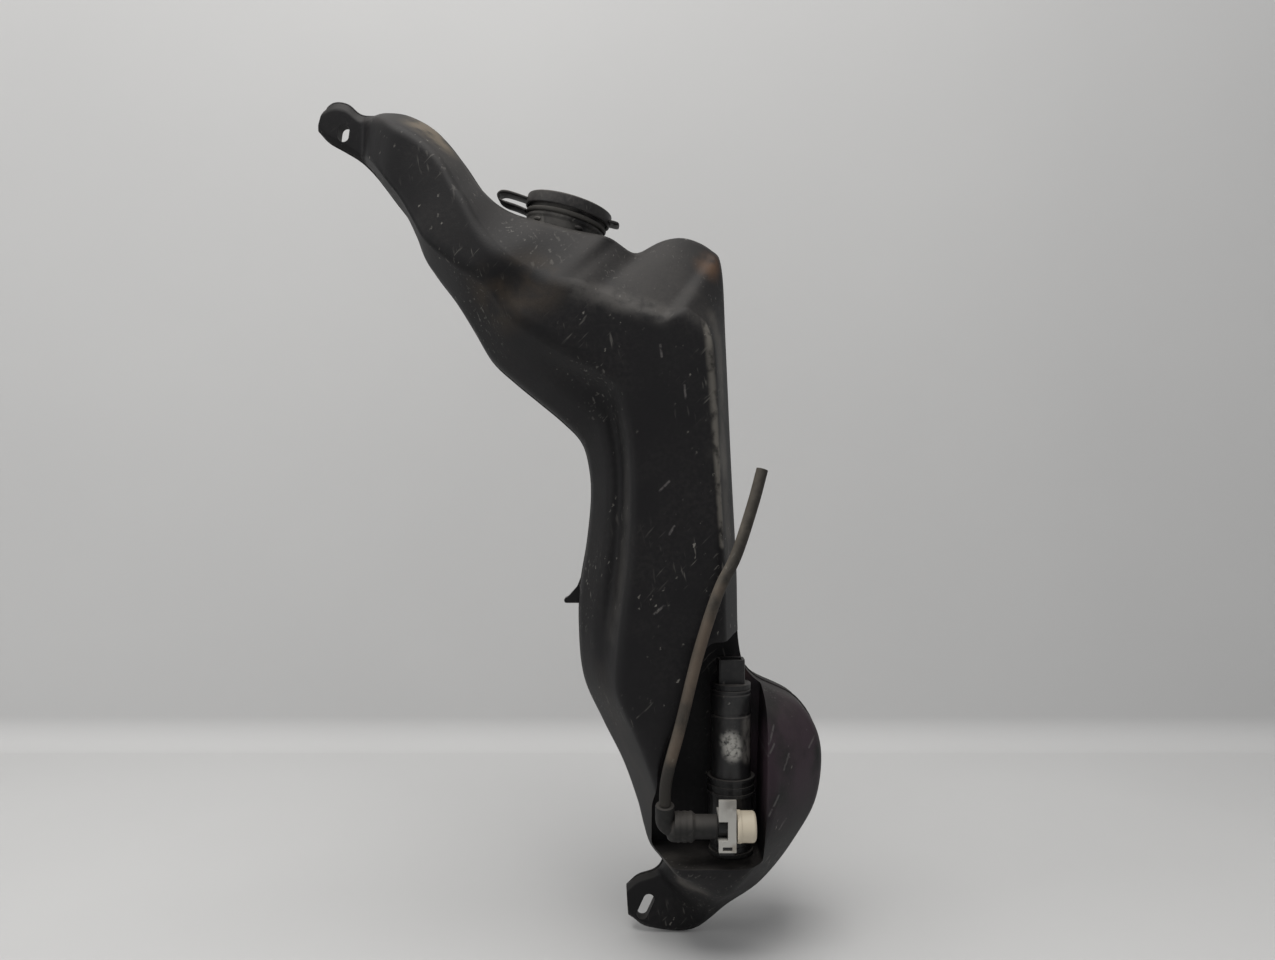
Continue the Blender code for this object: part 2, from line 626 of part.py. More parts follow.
def build_lid(plastic, rubber, neck_axis, hinge):
    """Collar on the neck, lid on the fold's axis, and the lid's seal ring."""
    half = STRAP_WIDTH / 2
    collar_mid = COLLAR_LEVEL + COLLAR_HEIGHT / 2
    profile = tube(COLLAR_INSIDE, COLLAR_RADIUS, COLLAR_LEVEL, COLLAR_LEVEL + COLLAR_HEIGHT)
    collar = placed("cap_collar", turned(profile), plastic, neck_axis)
    lower = [
        (-COLLAR_RADIUS + COLLAR_WALL / 2, collar_mid),
        (-COLLAR_RADIUS - 0.35 * STRAP_REACH, collar_mid + 0.25 * (FOLD_LEVEL - collar_mid)),
        (FOLD_X + 0.22 * STRAP_REACH, FOLD_LEVEL - 0.40 * (FOLD_LEVEL - collar_mid)),
        (FOLD_X + 0.02 * STRAP_REACH, FOLD_LEVEL - FOLD_GAP),
    ]
    leaf = placed("lower_leaf", prism(strap_outline(lower), -half, half, "Y"), parent=neck_axis)
    cut(collar, leaf, "UNION")

    offset = (-FOLD_X, 0, -FOLD_LEVEL)
    lid = placed("filler_lid", turned(lid_profile()), plastic, hinge)
    lid.location = offset
    skirt_mid = SKIRT_LEVEL + 0.55 * SKIRT_HEIGHT
    upper = [
        (-LID_RADIUS + SKIRT_WALL / 2, skirt_mid),
        (-LID_RADIUS - 0.40 * STRAP_REACH, skirt_mid + 0.30 * STRAP_THICKNESS),
        (FOLD_X + 0.16 * STRAP_REACH, skirt_mid + 0.30 * STRAP_THICKNESS),
        (FOLD_X + 0.02 * STRAP_REACH, FOLD_LEVEL + FOLD_GAP),
    ]
    leaf = placed("upper_leaf", prism(strap_outline(upper), -half, half, "Y"), parent=hinge)
    leaf.location = offset
    cut(lid, leaf, "UNION")
    tab_low = SKIRT_LEVEL + 0.25 * SKIRT_HEIGHT
    tab_outline = softened(
        rectangle(LID_RADIUS - SKIRT_WALL / 2, LID_RADIUS + TAB_LENGTH, -TAB_WIDTH / 2, TAB_WIDTH / 2), 0.003
    )
    tab = placed("lift_tab", prism(tab_outline, tab_low, tab_low + STRAP_THICKNESS), parent=hinge)
    tab.location = offset
    cut(lid, tab, "UNION")

    low = NECK_TOP + CLEARANCE
    ring = tube(PLUG_RADIUS + CLEARANCE, NECK_RADIUS, low, low + SEAL_HEIGHT)
    seal = placed("lid_seal", turned(ring), rubber, hinge)
    seal.location = offset


def lid_profile():
    """Domed plate with an outer skirt and an inner plug that narrows so that it swings clear."""
    edge = 0.0012
    return [
        (0, PLATE_LEVEL),
        (PLUG_RADIUS - PLUG_WALL, PLATE_LEVEL),
        (PLUG_RADIUS - PLUG_WALL - SKIRT_SWING_GAP, PLATE_LEVEL - PLUG_DEPTH),
        (PLUG_RADIUS - SKIRT_SWING_GAP, PLATE_LEVEL - PLUG_DEPTH),
        (PLUG_RADIUS, PLATE_LEVEL),
        (SKIRT_INSIDE, PLATE_LEVEL),
        (SKIRT_INSIDE, SKIRT_LEVEL),
        (LID_RADIUS, SKIRT_LEVEL),
        (LID_RADIUS, LID_TOP - edge),
        (LID_RADIUS - edge, LID_TOP),
        (0.6 * LID_RADIUS, LID_TOP + 0.7 * LID_DOME),
        (0, LID_TOP + LID_DOME),
    ]


# Pump


def build_inlet(plastic, rubber, mesh_plastic, axis):
    """Grommet in the ledge's hole, the strainer under it, and the pump's base with its inlet spigot."""
    neck = GROMMET_HOLE / 2 - CLEARANCE
    lip = -WALL - CLEARANCE
    lip_low = lip - GROMMET_FLANGE
    grommet = [
        (GROMMET_BORE / 2, lip_low),
        (neck, lip_low),
        (neck + GROMMET_LAND * 0.6, lip),
        (neck, lip),
        (neck, CLEARANCE),
        (neck + GROMMET_LAND, CLEARANCE),
        (neck + GROMMET_LAND, GROMMET_TOP),
        (GROMMET_BORE / 2, GROMMET_TOP),
    ]
    placed("pump_grommet", turned(grommet), rubber, axis)

    top = lip_low - CLEARANCE
    bottom = top - STRAINER_LENGTH
    inner = neck - STRAINER_WALL
    cup = [
        (0, bottom),
        (inner, bottom),
        (neck, bottom + STRAINER_WALL),
        (neck, top),
        (inner, top),
        (inner, bottom + STRAINER_WALL),
        (0, bottom + STRAINER_WALL),
    ]
    strainer = placed("inlet_strainer", turned(cup, SMALL_STEPS), mesh_plastic, axis)
    slot_half = STRAINER_WALL * 0.8
    for k in range(4):
        window = prism(rectangle(-slot_half, slot_half, 2 * -neck, 2 * neck), bottom + 2 * STRAINER_WALL, top - 2 * STRAINER_WALL)
        bmesh.ops.rotate(
            window,
            matrix=Matrix.Rotation(math.pi * (k + 0.5) / 4, 3, "Z"),
            verts=window.verts,
        )
        cut(strainer, placed(f"strainer_window_{k + 1}", window, parent=axis))

    spigot = GROMMET_BORE / 2 - CLEARANCE
    flange = CHAMBER_DIAMETER / 2 + HOUSING_WALL
    base = [
        (INLET_BORE / 2, -INLET_LENGTH),
        (spigot, -INLET_LENGTH),
        (spigot, BASE_LEVEL),
        (flange, BASE_LEVEL),
        (flange, BASE_LEVEL + BASE_FLANGE),
        (INLET_BORE / 2, BASE_LEVEL + BASE_FLANGE),
    ]
    placed("pump_base", turned(base), plastic, axis)


def housing_profile():
    """The filled housing: volute below, ribbed sleeve for the motor above."""
    outer = CHAMBER_DIAMETER / 2 + HOUSING_WALL
    ribs = []
    for k in range(SLEEVE_RIBS):
        low = SLEEVE_TOP - RIB_HEIGHT * (1 + 2.6 * (SLEEVE_RIBS - 1 - k))
        ribs += [
            (SLEEVE_RADIUS, low),
            (SLEEVE_RADIUS + RIB_OUT, low),
            (SLEEVE_RADIUS + RIB_OUT, low + RIB_HEIGHT),
            (SLEEVE_RADIUS, low + RIB_HEIGHT),
        ]
    return [
        (0, CHAMBER_LEVEL),
        (outer, CHAMBER_LEVEL),
        (outer, CHAMBER_TOP),
        (SLEEVE_RADIUS, PARTITION_TOP),
        *ribs[:-1],
        (0, SLEEVE_TOP),
    ]


def housing_space():
    """The hollow of the housing: impeller chamber, shaft hole, seal pocket and motor space."""
    pocket = BUSH_RADIUS + SHAFT_RADIUS
    pocket_low = PARTITION_TOP - PARTITION * 0.7
    return [
        (0, 0),
        (CHAMBER_DIAMETER / 2, 0),
        (CHAMBER_DIAMETER / 2, CHAMBER_TOP),
        (SHAFT_HOLE + CLEARANCE, CHAMBER_TOP),
        (SHAFT_HOLE + CLEARANCE, pocket_low),
        (pocket, pocket_low),
        (pocket, PARTITION_TOP),
        (SLEEVE_INSIDE, PARTITION_TOP),
        (SLEEVE_INSIDE, 2 * SLEEVE_TOP),
        (0, 2 * SLEEVE_TOP),
    ]


def across(x):
    """Places a piece that was turned about Z along the outlet barrel, with its zero at X = x."""
    return Matrix.Translation((x, BARREL_Y, BARREL_LEVEL)) @ ALONG_X


def build_housing(plastic, rubber, axis):
    """Volute housing with the outlet barrel across its front, and the motor's face seal."""
    housing = placed("volute_housing", turned(housing_profile()), plastic, axis)
    low, high = BARREL_SPAN
    bore = OUTLET_BORE / 2
    spigot = SPIGOT_DIAMETER / 2
    groove = spigot - O_RING_SECTION
    ring_low, ring_high = o_ring_span()
    barrel = [
        (0, low - SPIGOT_LENGTH),
        (spigot, low - SPIGOT_LENGTH),
        (spigot, ring_low - CLEARANCE),
        (groove, ring_low - CLEARANCE),
        (groove, ring_high + CLEARANCE),
        (spigot, ring_high + CLEARANCE),
        (spigot, low),
        (BARREL_DIAMETER / 2, low),
        (BARREL_DIAMETER / 2, high),
        (spigot, high),
        (spigot, high + STUB_LENGTH),
        (0, high + STUB_LENGTH),
    ]
    barrel_blank = turned(barrel, SMALL_STEPS, across(0))
    middle = (low + high) / 2
    half = BARREL_DIAMETER / 2 * 0.8
    riser_y = BARREL_Y + bore
    outer = CHAMBER_DIAMETER / 2 + HOUSING_WALL
    boss_outline = rectangle(middle - half, middle + half, BARREL_Y, -outer / 2)
    boss = prism(boss_outline, CHAMBER_LEVEL + CLEARANCE, BARREL_LEVEL + CLEARANCE)
    cut(housing, placed("outlet_boss", boss, parent=axis), "UNION")
    cut(housing, placed("outlet_barrel", barrel_blank, parent=axis), "UNION")
    cut(housing, placed("housing_space", turned(housing_space()), parent=axis))

    bore_end = high + STUB_LENGTH * 2
    through = drill(bore, low - SPIGOT_LENGTH * 2, bore_end, turn=across(0))
    cut(housing, placed("outlet_bore", through, parent=axis))
    throat_level = (CHAMBER_LEVEL + CHAMBER_TOP) / 2
    forward = Matrix.Translation((middle, 0, throat_level)) @ Matrix.Rotation(math.pi / 2, 4, "X")
    throat = drill(bore, 0, -riser_y - bore / 2, turn=forward)
    cut(housing, placed("outlet_throat", throat, parent=axis))
    upward = Matrix.Translation((middle, riser_y, 0))
    riser = drill(bore * 0.9, throat_level, BARREL_LEVEL - bore / 3, turn=upward)
    cut(housing, placed("outlet_riser", riser, parent=axis))

    seal_low = PARTITION_TOP + CLEARANCE
    ring = tube(CAN_INSIDE - 2 * CAN_WALL, CAN_INSIDE, seal_low, seal_low + CAN_SEAL_HEIGHT)
    placed("can_seal", turned(ring), rubber, axis)


def build_motor(steel, plastic, ferrite, bronze, carbon, rubber, brass, axis):
    """The fixed pieces of the motor: can, magnets, bushes, seal, brushes, cover and terminals."""
    hole = BUSH_RADIUS + CLEARANCE
    can = [
        (hole, CAN_LEVEL),
        (CAN_RADIUS, CAN_LEVEL),
        (CAN_RADIUS, CAN_TOP),
        (CAN_INSIDE, CAN_TOP),
        (CAN_INSIDE, CAN_LEVEL + CAN_WALL),
        (hole, CAN_LEVEL + CAN_WALL),
    ]
    placed("motor_can", turned(can), steel, axis)

    for name, middle in (("magnet_front", -math.pi / 2), ("magnet_rear", math.pi / 2)):
        angles = np.linspace(middle - MAGNET_SPAN / 2, middle + MAGNET_SPAN / 2, 12)
        outside = CAN_INSIDE - CLEARANCE
        outer = [(math.cos(a) * outside, math.sin(a) * outside) for a in angles]
        inner = [(math.cos(a) * MAGNET_INSIDE, math.sin(a) * MAGNET_INSIDE) for a in angles[::-1]]
        low = MOTOR_MIDDLE - MAGNET_LENGTH / 2
        placed(name, prism(outer + inner, low, low + MAGNET_LENGTH), ferrite, axis)

    for name, low in (("lower_bush", CAN_LEVEL), ("upper_bush", UPPER_BUSH_LEVEL)):
        ring = tube(SHAFT_HOLE, BUSH_RADIUS, low, low + BUSH_LENGTH)
        placed(name, turned(ring, SMALL_STEPS), bronze, axis)
    seal_low = PARTITION_TOP - PARTITION * 0.7 + CLEARANCE
    ring = tube(SHAFT_HOLE, BUSH_RADIUS + SHAFT_RADIUS - CLEARANCE, seal_low, PARTITION_TOP)
    placed("shaft_seal", turned(ring, SMALL_STEPS), rubber, axis)

    plate = tube(
        COMMUTATOR_DIAMETER / 2 + CLEARANCE,
        CAN_INSIDE - CLEARANCE,
        BRUSH_PLATE_LEVEL,
        BRUSH_PLATE_LEVEL + BRUSH_PLATE,
    )
    placed("brush_plate", turned(plate), plastic, axis)
    start = COMMUTATOR_DIAMETER / 2 + CLEARANCE
    for name, sign in (("brush_left", -1), ("brush_right", 1)):
        x0, x1 = sorted((sign * start, sign * (CAN_INSIDE - 2 * CAN_WALL)))
        outline = rectangle(x0, x1, -BRUSH_WIDTH / 2, BRUSH_WIDTH / 2)
        brush = prism(outline, BRUSH_PLATE_LEVEL - CLEARANCE - BRUSH_WIDTH, BRUSH_PLATE_LEVEL - CLEARANCE)
        placed(name, brush, carbon, axis)

    pocket = BUSH_RADIUS + CLEARANCE
    plug = [
        (pocket, COVER_LEVEL),
        (CAN_INSIDE - CLEARANCE, COVER_LEVEL),
        (CAN_INSIDE - CLEARANCE, COVER_FLANGE_LEVEL),
        (CAN_RADIUS, COVER_FLANGE_LEVEL),
        (CAN_RADIUS, SOCKET_LEVEL),
        (0, SOCKET_LEVEL),
        (0, SHAFT_TOP + CLEARANCE),
        (pocket, SHAFT_TOP + CLEARANCE),
    ]
    cover = placed("motor_end_cover", turned(plug), plastic, axis)
    half_x, half_y = SOCKET_SIZE[0] / 2, SOCKET_SIZE[1] / 2
    socket_top = SOCKET_LEVEL + SOCKET_DEPTH
    outline = softened(rectangle(-half_x, half_x, -half_y, half_y), SOCKET_WALL, 3)
    shell = prism(outline, SOCKET_LEVEL - COVER_FLANGE / 2, socket_top)
    cut(cover, placed("socket_shell", shell, parent=axis), "UNION")
    in_x, in_y = half_x - SOCKET_WALL, half_y - SOCKET_WALL
    inner = rectangle(-in_x, in_x, -in_y, in_y)
    space = prism(inner, SOCKET_LEVEL, socket_top + SOCKET_DEPTH)
    cut(cover, placed("socket_space", space, parent=axis))

    for name, sign in (("terminal_left", -1), ("terminal_right", 1)):
        middle = sign * TERMINAL_PITCH / 2
        thick, wide = TERMINAL_SIZE
        outline = rectangle(middle - thick / 2, middle + thick / 2, -wide / 2, wide / 2)
        low = SOCKET_LEVEL + CLEARANCE
        placed(name, prism(outline, low, low + TERMINAL_LENGTH), brass, axis)


def pole_outline():
    """The armature's laminations: T-shaped poles round a hub, with open slots between them."""
    hub = CORE_RADIUS * 0.42
    tip = CORE_RADIUS * 0.80
    points = []
    for k in range(CORE_POLES):
        middle = 2 * math.pi * k / CORE_POLES
        shoe = 0.80 * math.pi / CORE_POLES
        neck = 0.26
        places = [(hub, -neck * 1.6), (tip, -neck * 0.8), (tip, -shoe)]
        places += [(CORE_RADIUS, a) for a in np.linspace(-shoe, shoe, 6)]
        places += [(tip, shoe), (tip, neck * 0.8), (hub, neck * 1.6)]
        points += [(r * math.cos(middle + a), r * math.sin(middle + a)) for r, a in places]
    return points


def impeller_outline(hub, tip, half):
    """A hub with straight radial blades."""
    points = []
    for k in range(IMPELLER_BLADES):
        angle = 2 * math.pi * k / IMPELLER_BLADES
        ahead = np.array([math.cos(angle), math.sin(angle)])
        aside = np.array([-ahead[1], ahead[0]])
        root = math.sqrt(hub**2 - half**2)
        for reach, side in ((root, -half), (tip, -half), (tip, half), (root, half)):
            points.append(tuple(ahead * reach + aside * side))
    return points


def build_rotor(steel, plastic, copper, brass, axis):
    """Everything that spins: shaft, laminations, windings' end turns, commutator and impeller."""
    impeller_low = CHAMBER_LEVEL + 2 * CLEARANCE
    shaft = tube(0, SHAFT_RADIUS, impeller_low, SHAFT_TOP)
    placed("motor_shaft", turned(shaft, SMALL_STEPS), steel, axis)

    bore = drill(SHAFT_HOLE, 0, 2 * CAN_TOP)
    shaft_bore = placed("shaft_bore", bore, parent=axis)
    core = placed("armature_core", prism(pole_outline(), CORE_LOW, CORE_HIGH), steel, axis)
    cut(core, shaft_bore)
    fat = CORE_RADIUS * 0.78
    bottom = CORE_LOW - CLEARANCE
    for name, low in (
        ("winding_lower", bottom - WINDING_HEIGHT),
        ("winding_upper", CORE_HIGH + CLEARANCE),
    ):
        high = low + WINDING_HEIGHT
        swell = WINDING_HEIGHT * 0.3
        ring = [
            (SHAFT_HOLE, low + swell),
            (fat * 0.6, low),
            (fat, low + swell),
            (fat, high - swell),
            (fat * 0.6, high),
            (SHAFT_HOLE, high - swell),
        ]
        placed(name, turned(ring), copper, axis)
    ring = tube(SHAFT_HOLE, COMMUTATOR_DIAMETER / 2, COMMUTATOR_LEVEL, COMMUTATOR_TOP)
    placed("commutator", turned(ring, SMALL_STEPS), brass, axis)

    tip = CHAMBER_DIAMETER / 2 - AIR_GAP
    half = 0.0006
    disc_top = CHAMBER_TOP - AIR_GAP
    disc_low = disc_top - 2 * half
    disc = turned(tube(0, tip, disc_low, disc_top), ROUND_STEPS)
    impeller = placed("impeller", disc, plastic, axis)
    blades = prism(impeller_outline(2 * SHAFT_RADIUS, tip - half, half), impeller_low, disc_low + half)
    cut(impeller, placed("impeller_blades", blades, parent=axis), "UNION")
    cut(impeller, shaft_bore)


# Outlet fitting


def o_ring_span():
    """Where the outlet's sealing ring lies along the spigot."""
    low = BARREL_SPAN[0] - SPIGOT_LENGTH * 0.65
    return low, low + O_RING_SECTION


def build_outlet(rubber, clip_plastic, cap_plastic, axis, clip_axis):
    """Elbow, its sealing ring, the fork clip on the barrel and the cap on the second outlet."""
    low, high = BARREL_SPAN
    ring_low, ring_high = o_ring_span()
    groove = SPIGOT_DIAMETER / 2 - O_RING_SECTION
    socket = SPIGOT_DIAMETER / 2 + 2 * CLEARANCE
    ring = tube(groove + CLEARANCE, socket - CLEARANCE, ring_low, ring_high)
    placed("outlet_o_ring", turned(ring, SMALL_STEPS, across(0)), rubber, axis)

    corner = -ELBOW_REACH
    arm = ELBOW_ARM / 2
    mouth = low - CLEARANCE
    cuff_low, cuff_high = corner + CUFF_SPAN[0], corner + CUFF_SPAN[1]
    body = [
        (0, corner),
        (arm, corner),
        (arm, cuff_low),
        (ELBOW_CUFF / 2, cuff_low + CLEARANCE),
        (ELBOW_CUFF / 2, cuff_high - CLEARANCE),
        (ELBOW_SLEEVE / 2, cuff_high),
        (ELBOW_SLEEVE / 2, mouth),
        (0, mouth),
    ]
    elbow = placed("outlet_elbow", turned(body, ROUND_STEPS, across(0)), rubber, axis)
    knee = bmesh.new()
    bmesh.ops.create_icosphere(knee, subdivisions=3, radius=arm * 1.01)
    bmesh.ops.translate(knee, vec=(corner, BARREL_Y, BARREL_LEVEL), verts=knee.verts)
    cut(elbow, placed("elbow_knee", knee, parent=axis), "UNION")
    lean = Matrix.Translation((corner, BARREL_Y, BARREL_LEVEL)) @ Matrix.Rotation(ELBOW_LEAN, 4, "X")
    upright = turned(tube(0, arm * 0.98, 0, ELBOW_ARM_LENGTH), ROUND_STEPS, lean)
    cut(elbow, placed("elbow_arm", upright, parent=axis), "UNION")
    bore = OUTLET_BORE / 2
    socket_end = low - SPIGOT_LENGTH - CLEARANCE
    socket_space = drill(socket, socket_end, high, turn=across(0))
    cut(elbow, placed("elbow_socket", socket_space, parent=axis))
    run = drill(bore, corner - bore / 2, socket_end + bore, turn=across(0))
    cut(elbow, placed("elbow_run", run, parent=axis))
    rise = drill(bore * 0.97, 0, 2 * ELBOW_ARM_LENGTH, turn=lean)
    cut(elbow, placed("elbow_rise", rise, parent=axis))

    build_clip(clip_plastic, clip_axis)

    stub = SPIGOT_DIAMETER / 2 + CLEARANCE
    start = high + CLEARANCE
    end = start + CAP_LENGTH
    radius = CAP_DIAMETER / 2
    soft = CAP_WALL * 0.8
    floor = high + STUB_LENGTH + CLEARANCE
    cap = [
        (0, floor),
        (stub, floor),
        (stub, start),
        (stub + CAP_WALL, start),
        (stub + CAP_WALL, floor),
        (radius - CAP_WALL, floor),
        (radius - CAP_WALL, start),
        (radius, start),
        (radius, end - soft),
        (radius - soft, end),
        (0, end),
    ]
    placed("blanking_cap", turned(cap, ROUND_STEPS, across(0)), cap_plastic, axis)


def build_clip(plastic, clip_axis):
    """A C-shaped plate in front of the barrel, with two legs that grip it from above and below.

    The clip's frame lies on the barrel's axis, at the middle of its span.
    """
    low, high = BARREL_SPAN
    half_span = (high - low) / 2
    gap = BARREL_DIAMETER / 2 + CLEARANCE
    left, right = -half_span, half_span - CLEARANCE
    plate_outline = [
        (left, -CLIP_BOTTOM),
        (right, -CLIP_BOTTOM),
        (right, CLIP_TOP),
        (left, CLIP_TOP),
        (left, CLIP_NOTCH),
        (right - CLIP_BAR, CLIP_NOTCH),
        (right - CLIP_BAR, -CLIP_NOTCH),
        (left, -CLIP_NOTCH),
    ]
    front = -gap - CLIP_THICKNESS
    clip = placed("connector_clip", prism(plate_outline, front, -gap, "Y"), plastic, clip_axis)
    reach = -(BARREL_Y + SLEEVE_RADIUS + RIB_OUT + CLEARANCE)
    for name, sign, end in (("upper_leg", 1, reach), ("lower_leg", -1, -CLEARANCE)):
        z0, z1 = sorted((sign * gap, sign * (gap + CLIP_THICKNESS)))
        leg = prism(rectangle(left, right, z0, z1), front + CLEARANCE, end, "Y")
        cut(clip, placed(name, leg, parent=clip_axis), "UNION")
    slot = rectangle(left + CLIP_THICKNESS, right - CLIP_THICKNESS, -CLIP_BOTTOM * 0.92, -CLIP_BOTTOM * 0.74)
    cut(clip, placed("release_slot", prism(slot, 2 * front, 0, "Y"), parent=clip_axis))


# Hose


def hose_start():
    """The middle of the elbow arm's rim, one clearance above it."""
    corner = Vector(PUMP_SEAT) + Vector((-ELBOW_REACH, BARREL_Y, BARREL_LEVEL))
    ahead = Vector((0, -math.sin(ELBOW_LEAN), math.cos(ELBOW_LEAN)))
    return corner + ahead * (ELBOW_ARM_LENGTH + CLEARANCE)


def build_hose(rubber):
    """The hose along a smooth curve through its route, from the elbow to its cut end."""
    route = np.array([tuple(hose_start()), *HOSE_ROUTE])
    fine = flowing(route, np.linspace(0, len(route) - 1, 40 * len(route)))
    run = np.concatenate([[0], np.cumsum(np.linalg.norm(np.diff(fine, axis=0), axis=1))])
    count = round(run[-1] / (HOSE_SPACING * HOSE_DIAMETER)) + 1
    even = np.linspace(0, run[-1], count)
    points = np.stack([np.interp(even, run, fine[:, k]) for k in range(3)], axis=1)

    curve = bpy.data.curves.new("washer_hose", "CURVE")
    curve.dimensions = "3D"
    curve.bevel_depth = HOSE_DIAMETER / 2
    curve.bevel_resolution = 3
    curve.use_fill_caps = True
    spline = curve.splines.new("POLY")
    spline.points.add(len(points) - 1)
    for point, place in zip(spline.points, points):
        point.co = (*place, 1)
    curve.materials.append(rubber)
    hose = bpy.data.objects.new("washer_hose", curve)
    bpy.context.scene.collection.objects.link(hose)
    print("hose length", round(float(run[-1]), 4))


def main():
    """Builds every piece."""
    for obj in list(bpy.data.objects):
        bpy.data.objects.remove(obj)
    black = finish("black_polyethylene", (0.018, 0.017, 0.017), 0.50)
    lid_grey = finish("lid_plastic", (0.030, 0.029, 0.028), 0.55)
    pump_black = finish("pump_plastic", (0.014, 0.014, 0.015), 0.45)
    rubber = finish("black_rubber", (0.020, 0.019, 0.018), 0.75)
    can_black = finish("can_paint", (0.016, 0.016, 0.017), 0.40, 0.3)
    steel = finish("steel", (0.55, 0.55, 0.54), 0.35, 1.0)
    ferrite = finish("ferrite", (0.07, 0.07, 0.07), 0.60)
    bronze = finish("sintered_bronze", (0.45, 0.30, 0.16), 0.45, 1.0)
    carbon = finish("carbon", (0.02, 0.02, 0.02), 0.55)
    copper = finish("copper_wire", (0.55, 0.25, 0.12), 0.40, 1.0)
    brass = finish("brass", (0.60, 0.46, 0.20), 0.35, 1.0)
    white = finish("clip_nylon", (0.55, 0.54, 0.50), 0.50)
    cream = finish("cream_nylon", (0.62, 0.55, 0.40), 0.50)
    pale = finish("strainer_plastic", (0.50, 0.50, 0.48), 0.55)

    neck_axis = axis_empty("neck_axis", NECK_BASE, (0, NECK_LEAN, 0))
    hinge = axis_empty("lid_hinge_axis", (FOLD_X, 0, FOLD_LEVEL), parent=neck_axis)
    pump_axis = axis_empty("pump_axis", PUMP_SEAT)
    clip_place = (sum(BARREL_SPAN) / 2, BARREL_Y, BARREL_LEVEL)
    clip_axis = axis_empty("clip_axis", clip_place, parent=pump_axis)

    build_tank(black, neck_axis, pump_axis)
    build_lid(lid_grey, rubber, neck_axis, hinge)
    build_inlet(pump_black, rubber, pale, pump_axis)
    build_housing(pump_black, rubber, pump_axis)
    build_motor(can_black, pump_black, ferrite, bronze, carbon, rubber, brass, pump_axis)
    build_rotor(steel, pump_black, copper, brass, pump_axis)
    build_outlet(rubber, white, cream, pump_axis, clip_axis)
    build_hose(rubber)


main()
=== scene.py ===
"""Dresses the screen-washer reservoir: tank shell, lid with its strap, outlet fitting, hose and all finishes."""

import logging
import math
from dataclasses import dataclass, field
from enum import Enum
from typing import NamedTuple

import bmesh
import bpy
import numpy as np
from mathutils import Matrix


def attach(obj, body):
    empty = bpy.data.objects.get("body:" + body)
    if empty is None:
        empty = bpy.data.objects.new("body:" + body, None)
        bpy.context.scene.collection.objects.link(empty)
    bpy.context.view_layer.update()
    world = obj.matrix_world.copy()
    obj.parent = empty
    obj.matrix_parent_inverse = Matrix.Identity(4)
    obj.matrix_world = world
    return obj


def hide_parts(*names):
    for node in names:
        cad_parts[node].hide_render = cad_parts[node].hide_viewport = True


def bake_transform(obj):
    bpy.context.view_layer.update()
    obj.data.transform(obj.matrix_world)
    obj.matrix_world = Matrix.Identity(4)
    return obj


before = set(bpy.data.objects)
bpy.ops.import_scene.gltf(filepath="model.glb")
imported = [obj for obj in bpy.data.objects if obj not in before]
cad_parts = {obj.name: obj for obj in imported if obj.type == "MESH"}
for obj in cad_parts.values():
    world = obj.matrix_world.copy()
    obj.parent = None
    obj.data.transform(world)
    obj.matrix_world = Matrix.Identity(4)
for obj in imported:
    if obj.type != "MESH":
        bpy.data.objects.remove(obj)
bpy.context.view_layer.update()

logging.basicConfig(level=logging.INFO, format="%(message)s")
LOG = logging.getLogger("reservoir")

Colour = tuple[float, float, float]
Point = tuple[float, float, float]
Pair = tuple[float, float]
Array = np.ndarray
Piece = bpy.types.Object
Socket = bpy.types.NodeSocket
Value = float | Socket

# Sizes shared with the solids, in metres
CLEARANCE = 0.0003
EAR_HALF = 0.004
FRONT_DEPTH = 0.056
BACK_DEPTH = 0.034
PARTING_Y = -0.004
FRONT_Y = PARTING_Y - FRONT_DEPTH
NECK_BASE = np.array((-0.063, -0.014, 0.3985))
NECK_LEAN = math.radians(14.5)
PUMP_SEAT = np.array((0.0347, FRONT_Y + 0.026, 0.046))
BARREL = PUMP_SEAT + (0, -0.0225, 0.0224)
ELBOW_REACH = 0.0382
ELBOW_LEAN = math.radians(14)
ELBOW_ARM = np.array((0.0, -math.sin(ELBOW_LEAN), math.cos(ELBOW_LEAN)))
ELBOW_ARM_LENGTH = 0.0130
HOSE_DIAMETER = 0.0064

# Radius of a turned profile's points on its axis
AXIS = 1e-5

# Edges of the cut shell steeper than this stay crisp
CREASE = math.radians(38)


class Body(str, Enum):
    """The CAD bodies that pieces ride on."""

    TANK = "tank"
    LID = "lid"


class Edge(Enum):
    """How the ends of a grid's rows are finished."""

    CAPPED = 0
    JOINED = 1


# Meshes


def metres(values: float | tuple | Array) -> Array:
    """Millimetres in metres."""
    return np.array(values) / 1000


def unit(rows: Array) -> Array:
    """Rows of vectors, scaled to length 1."""
    return rows / np.maximum(np.linalg.norm(rows, axis=-1, keepdims=True), np.finfo(float).tiny)


def turns(steps: int) -> Array:
    """Even angles round one full turn."""
    return np.linspace(0, 2 * math.pi, steps, endpoint=False)


def placed(name: str, data: bpy.types.ID) -> Piece:
    """Makes an object of some data and links it to the scene."""
    obj = bpy.data.objects.new(name, data)
    bpy.context.scene.collection.objects.link(obj)
    return obj


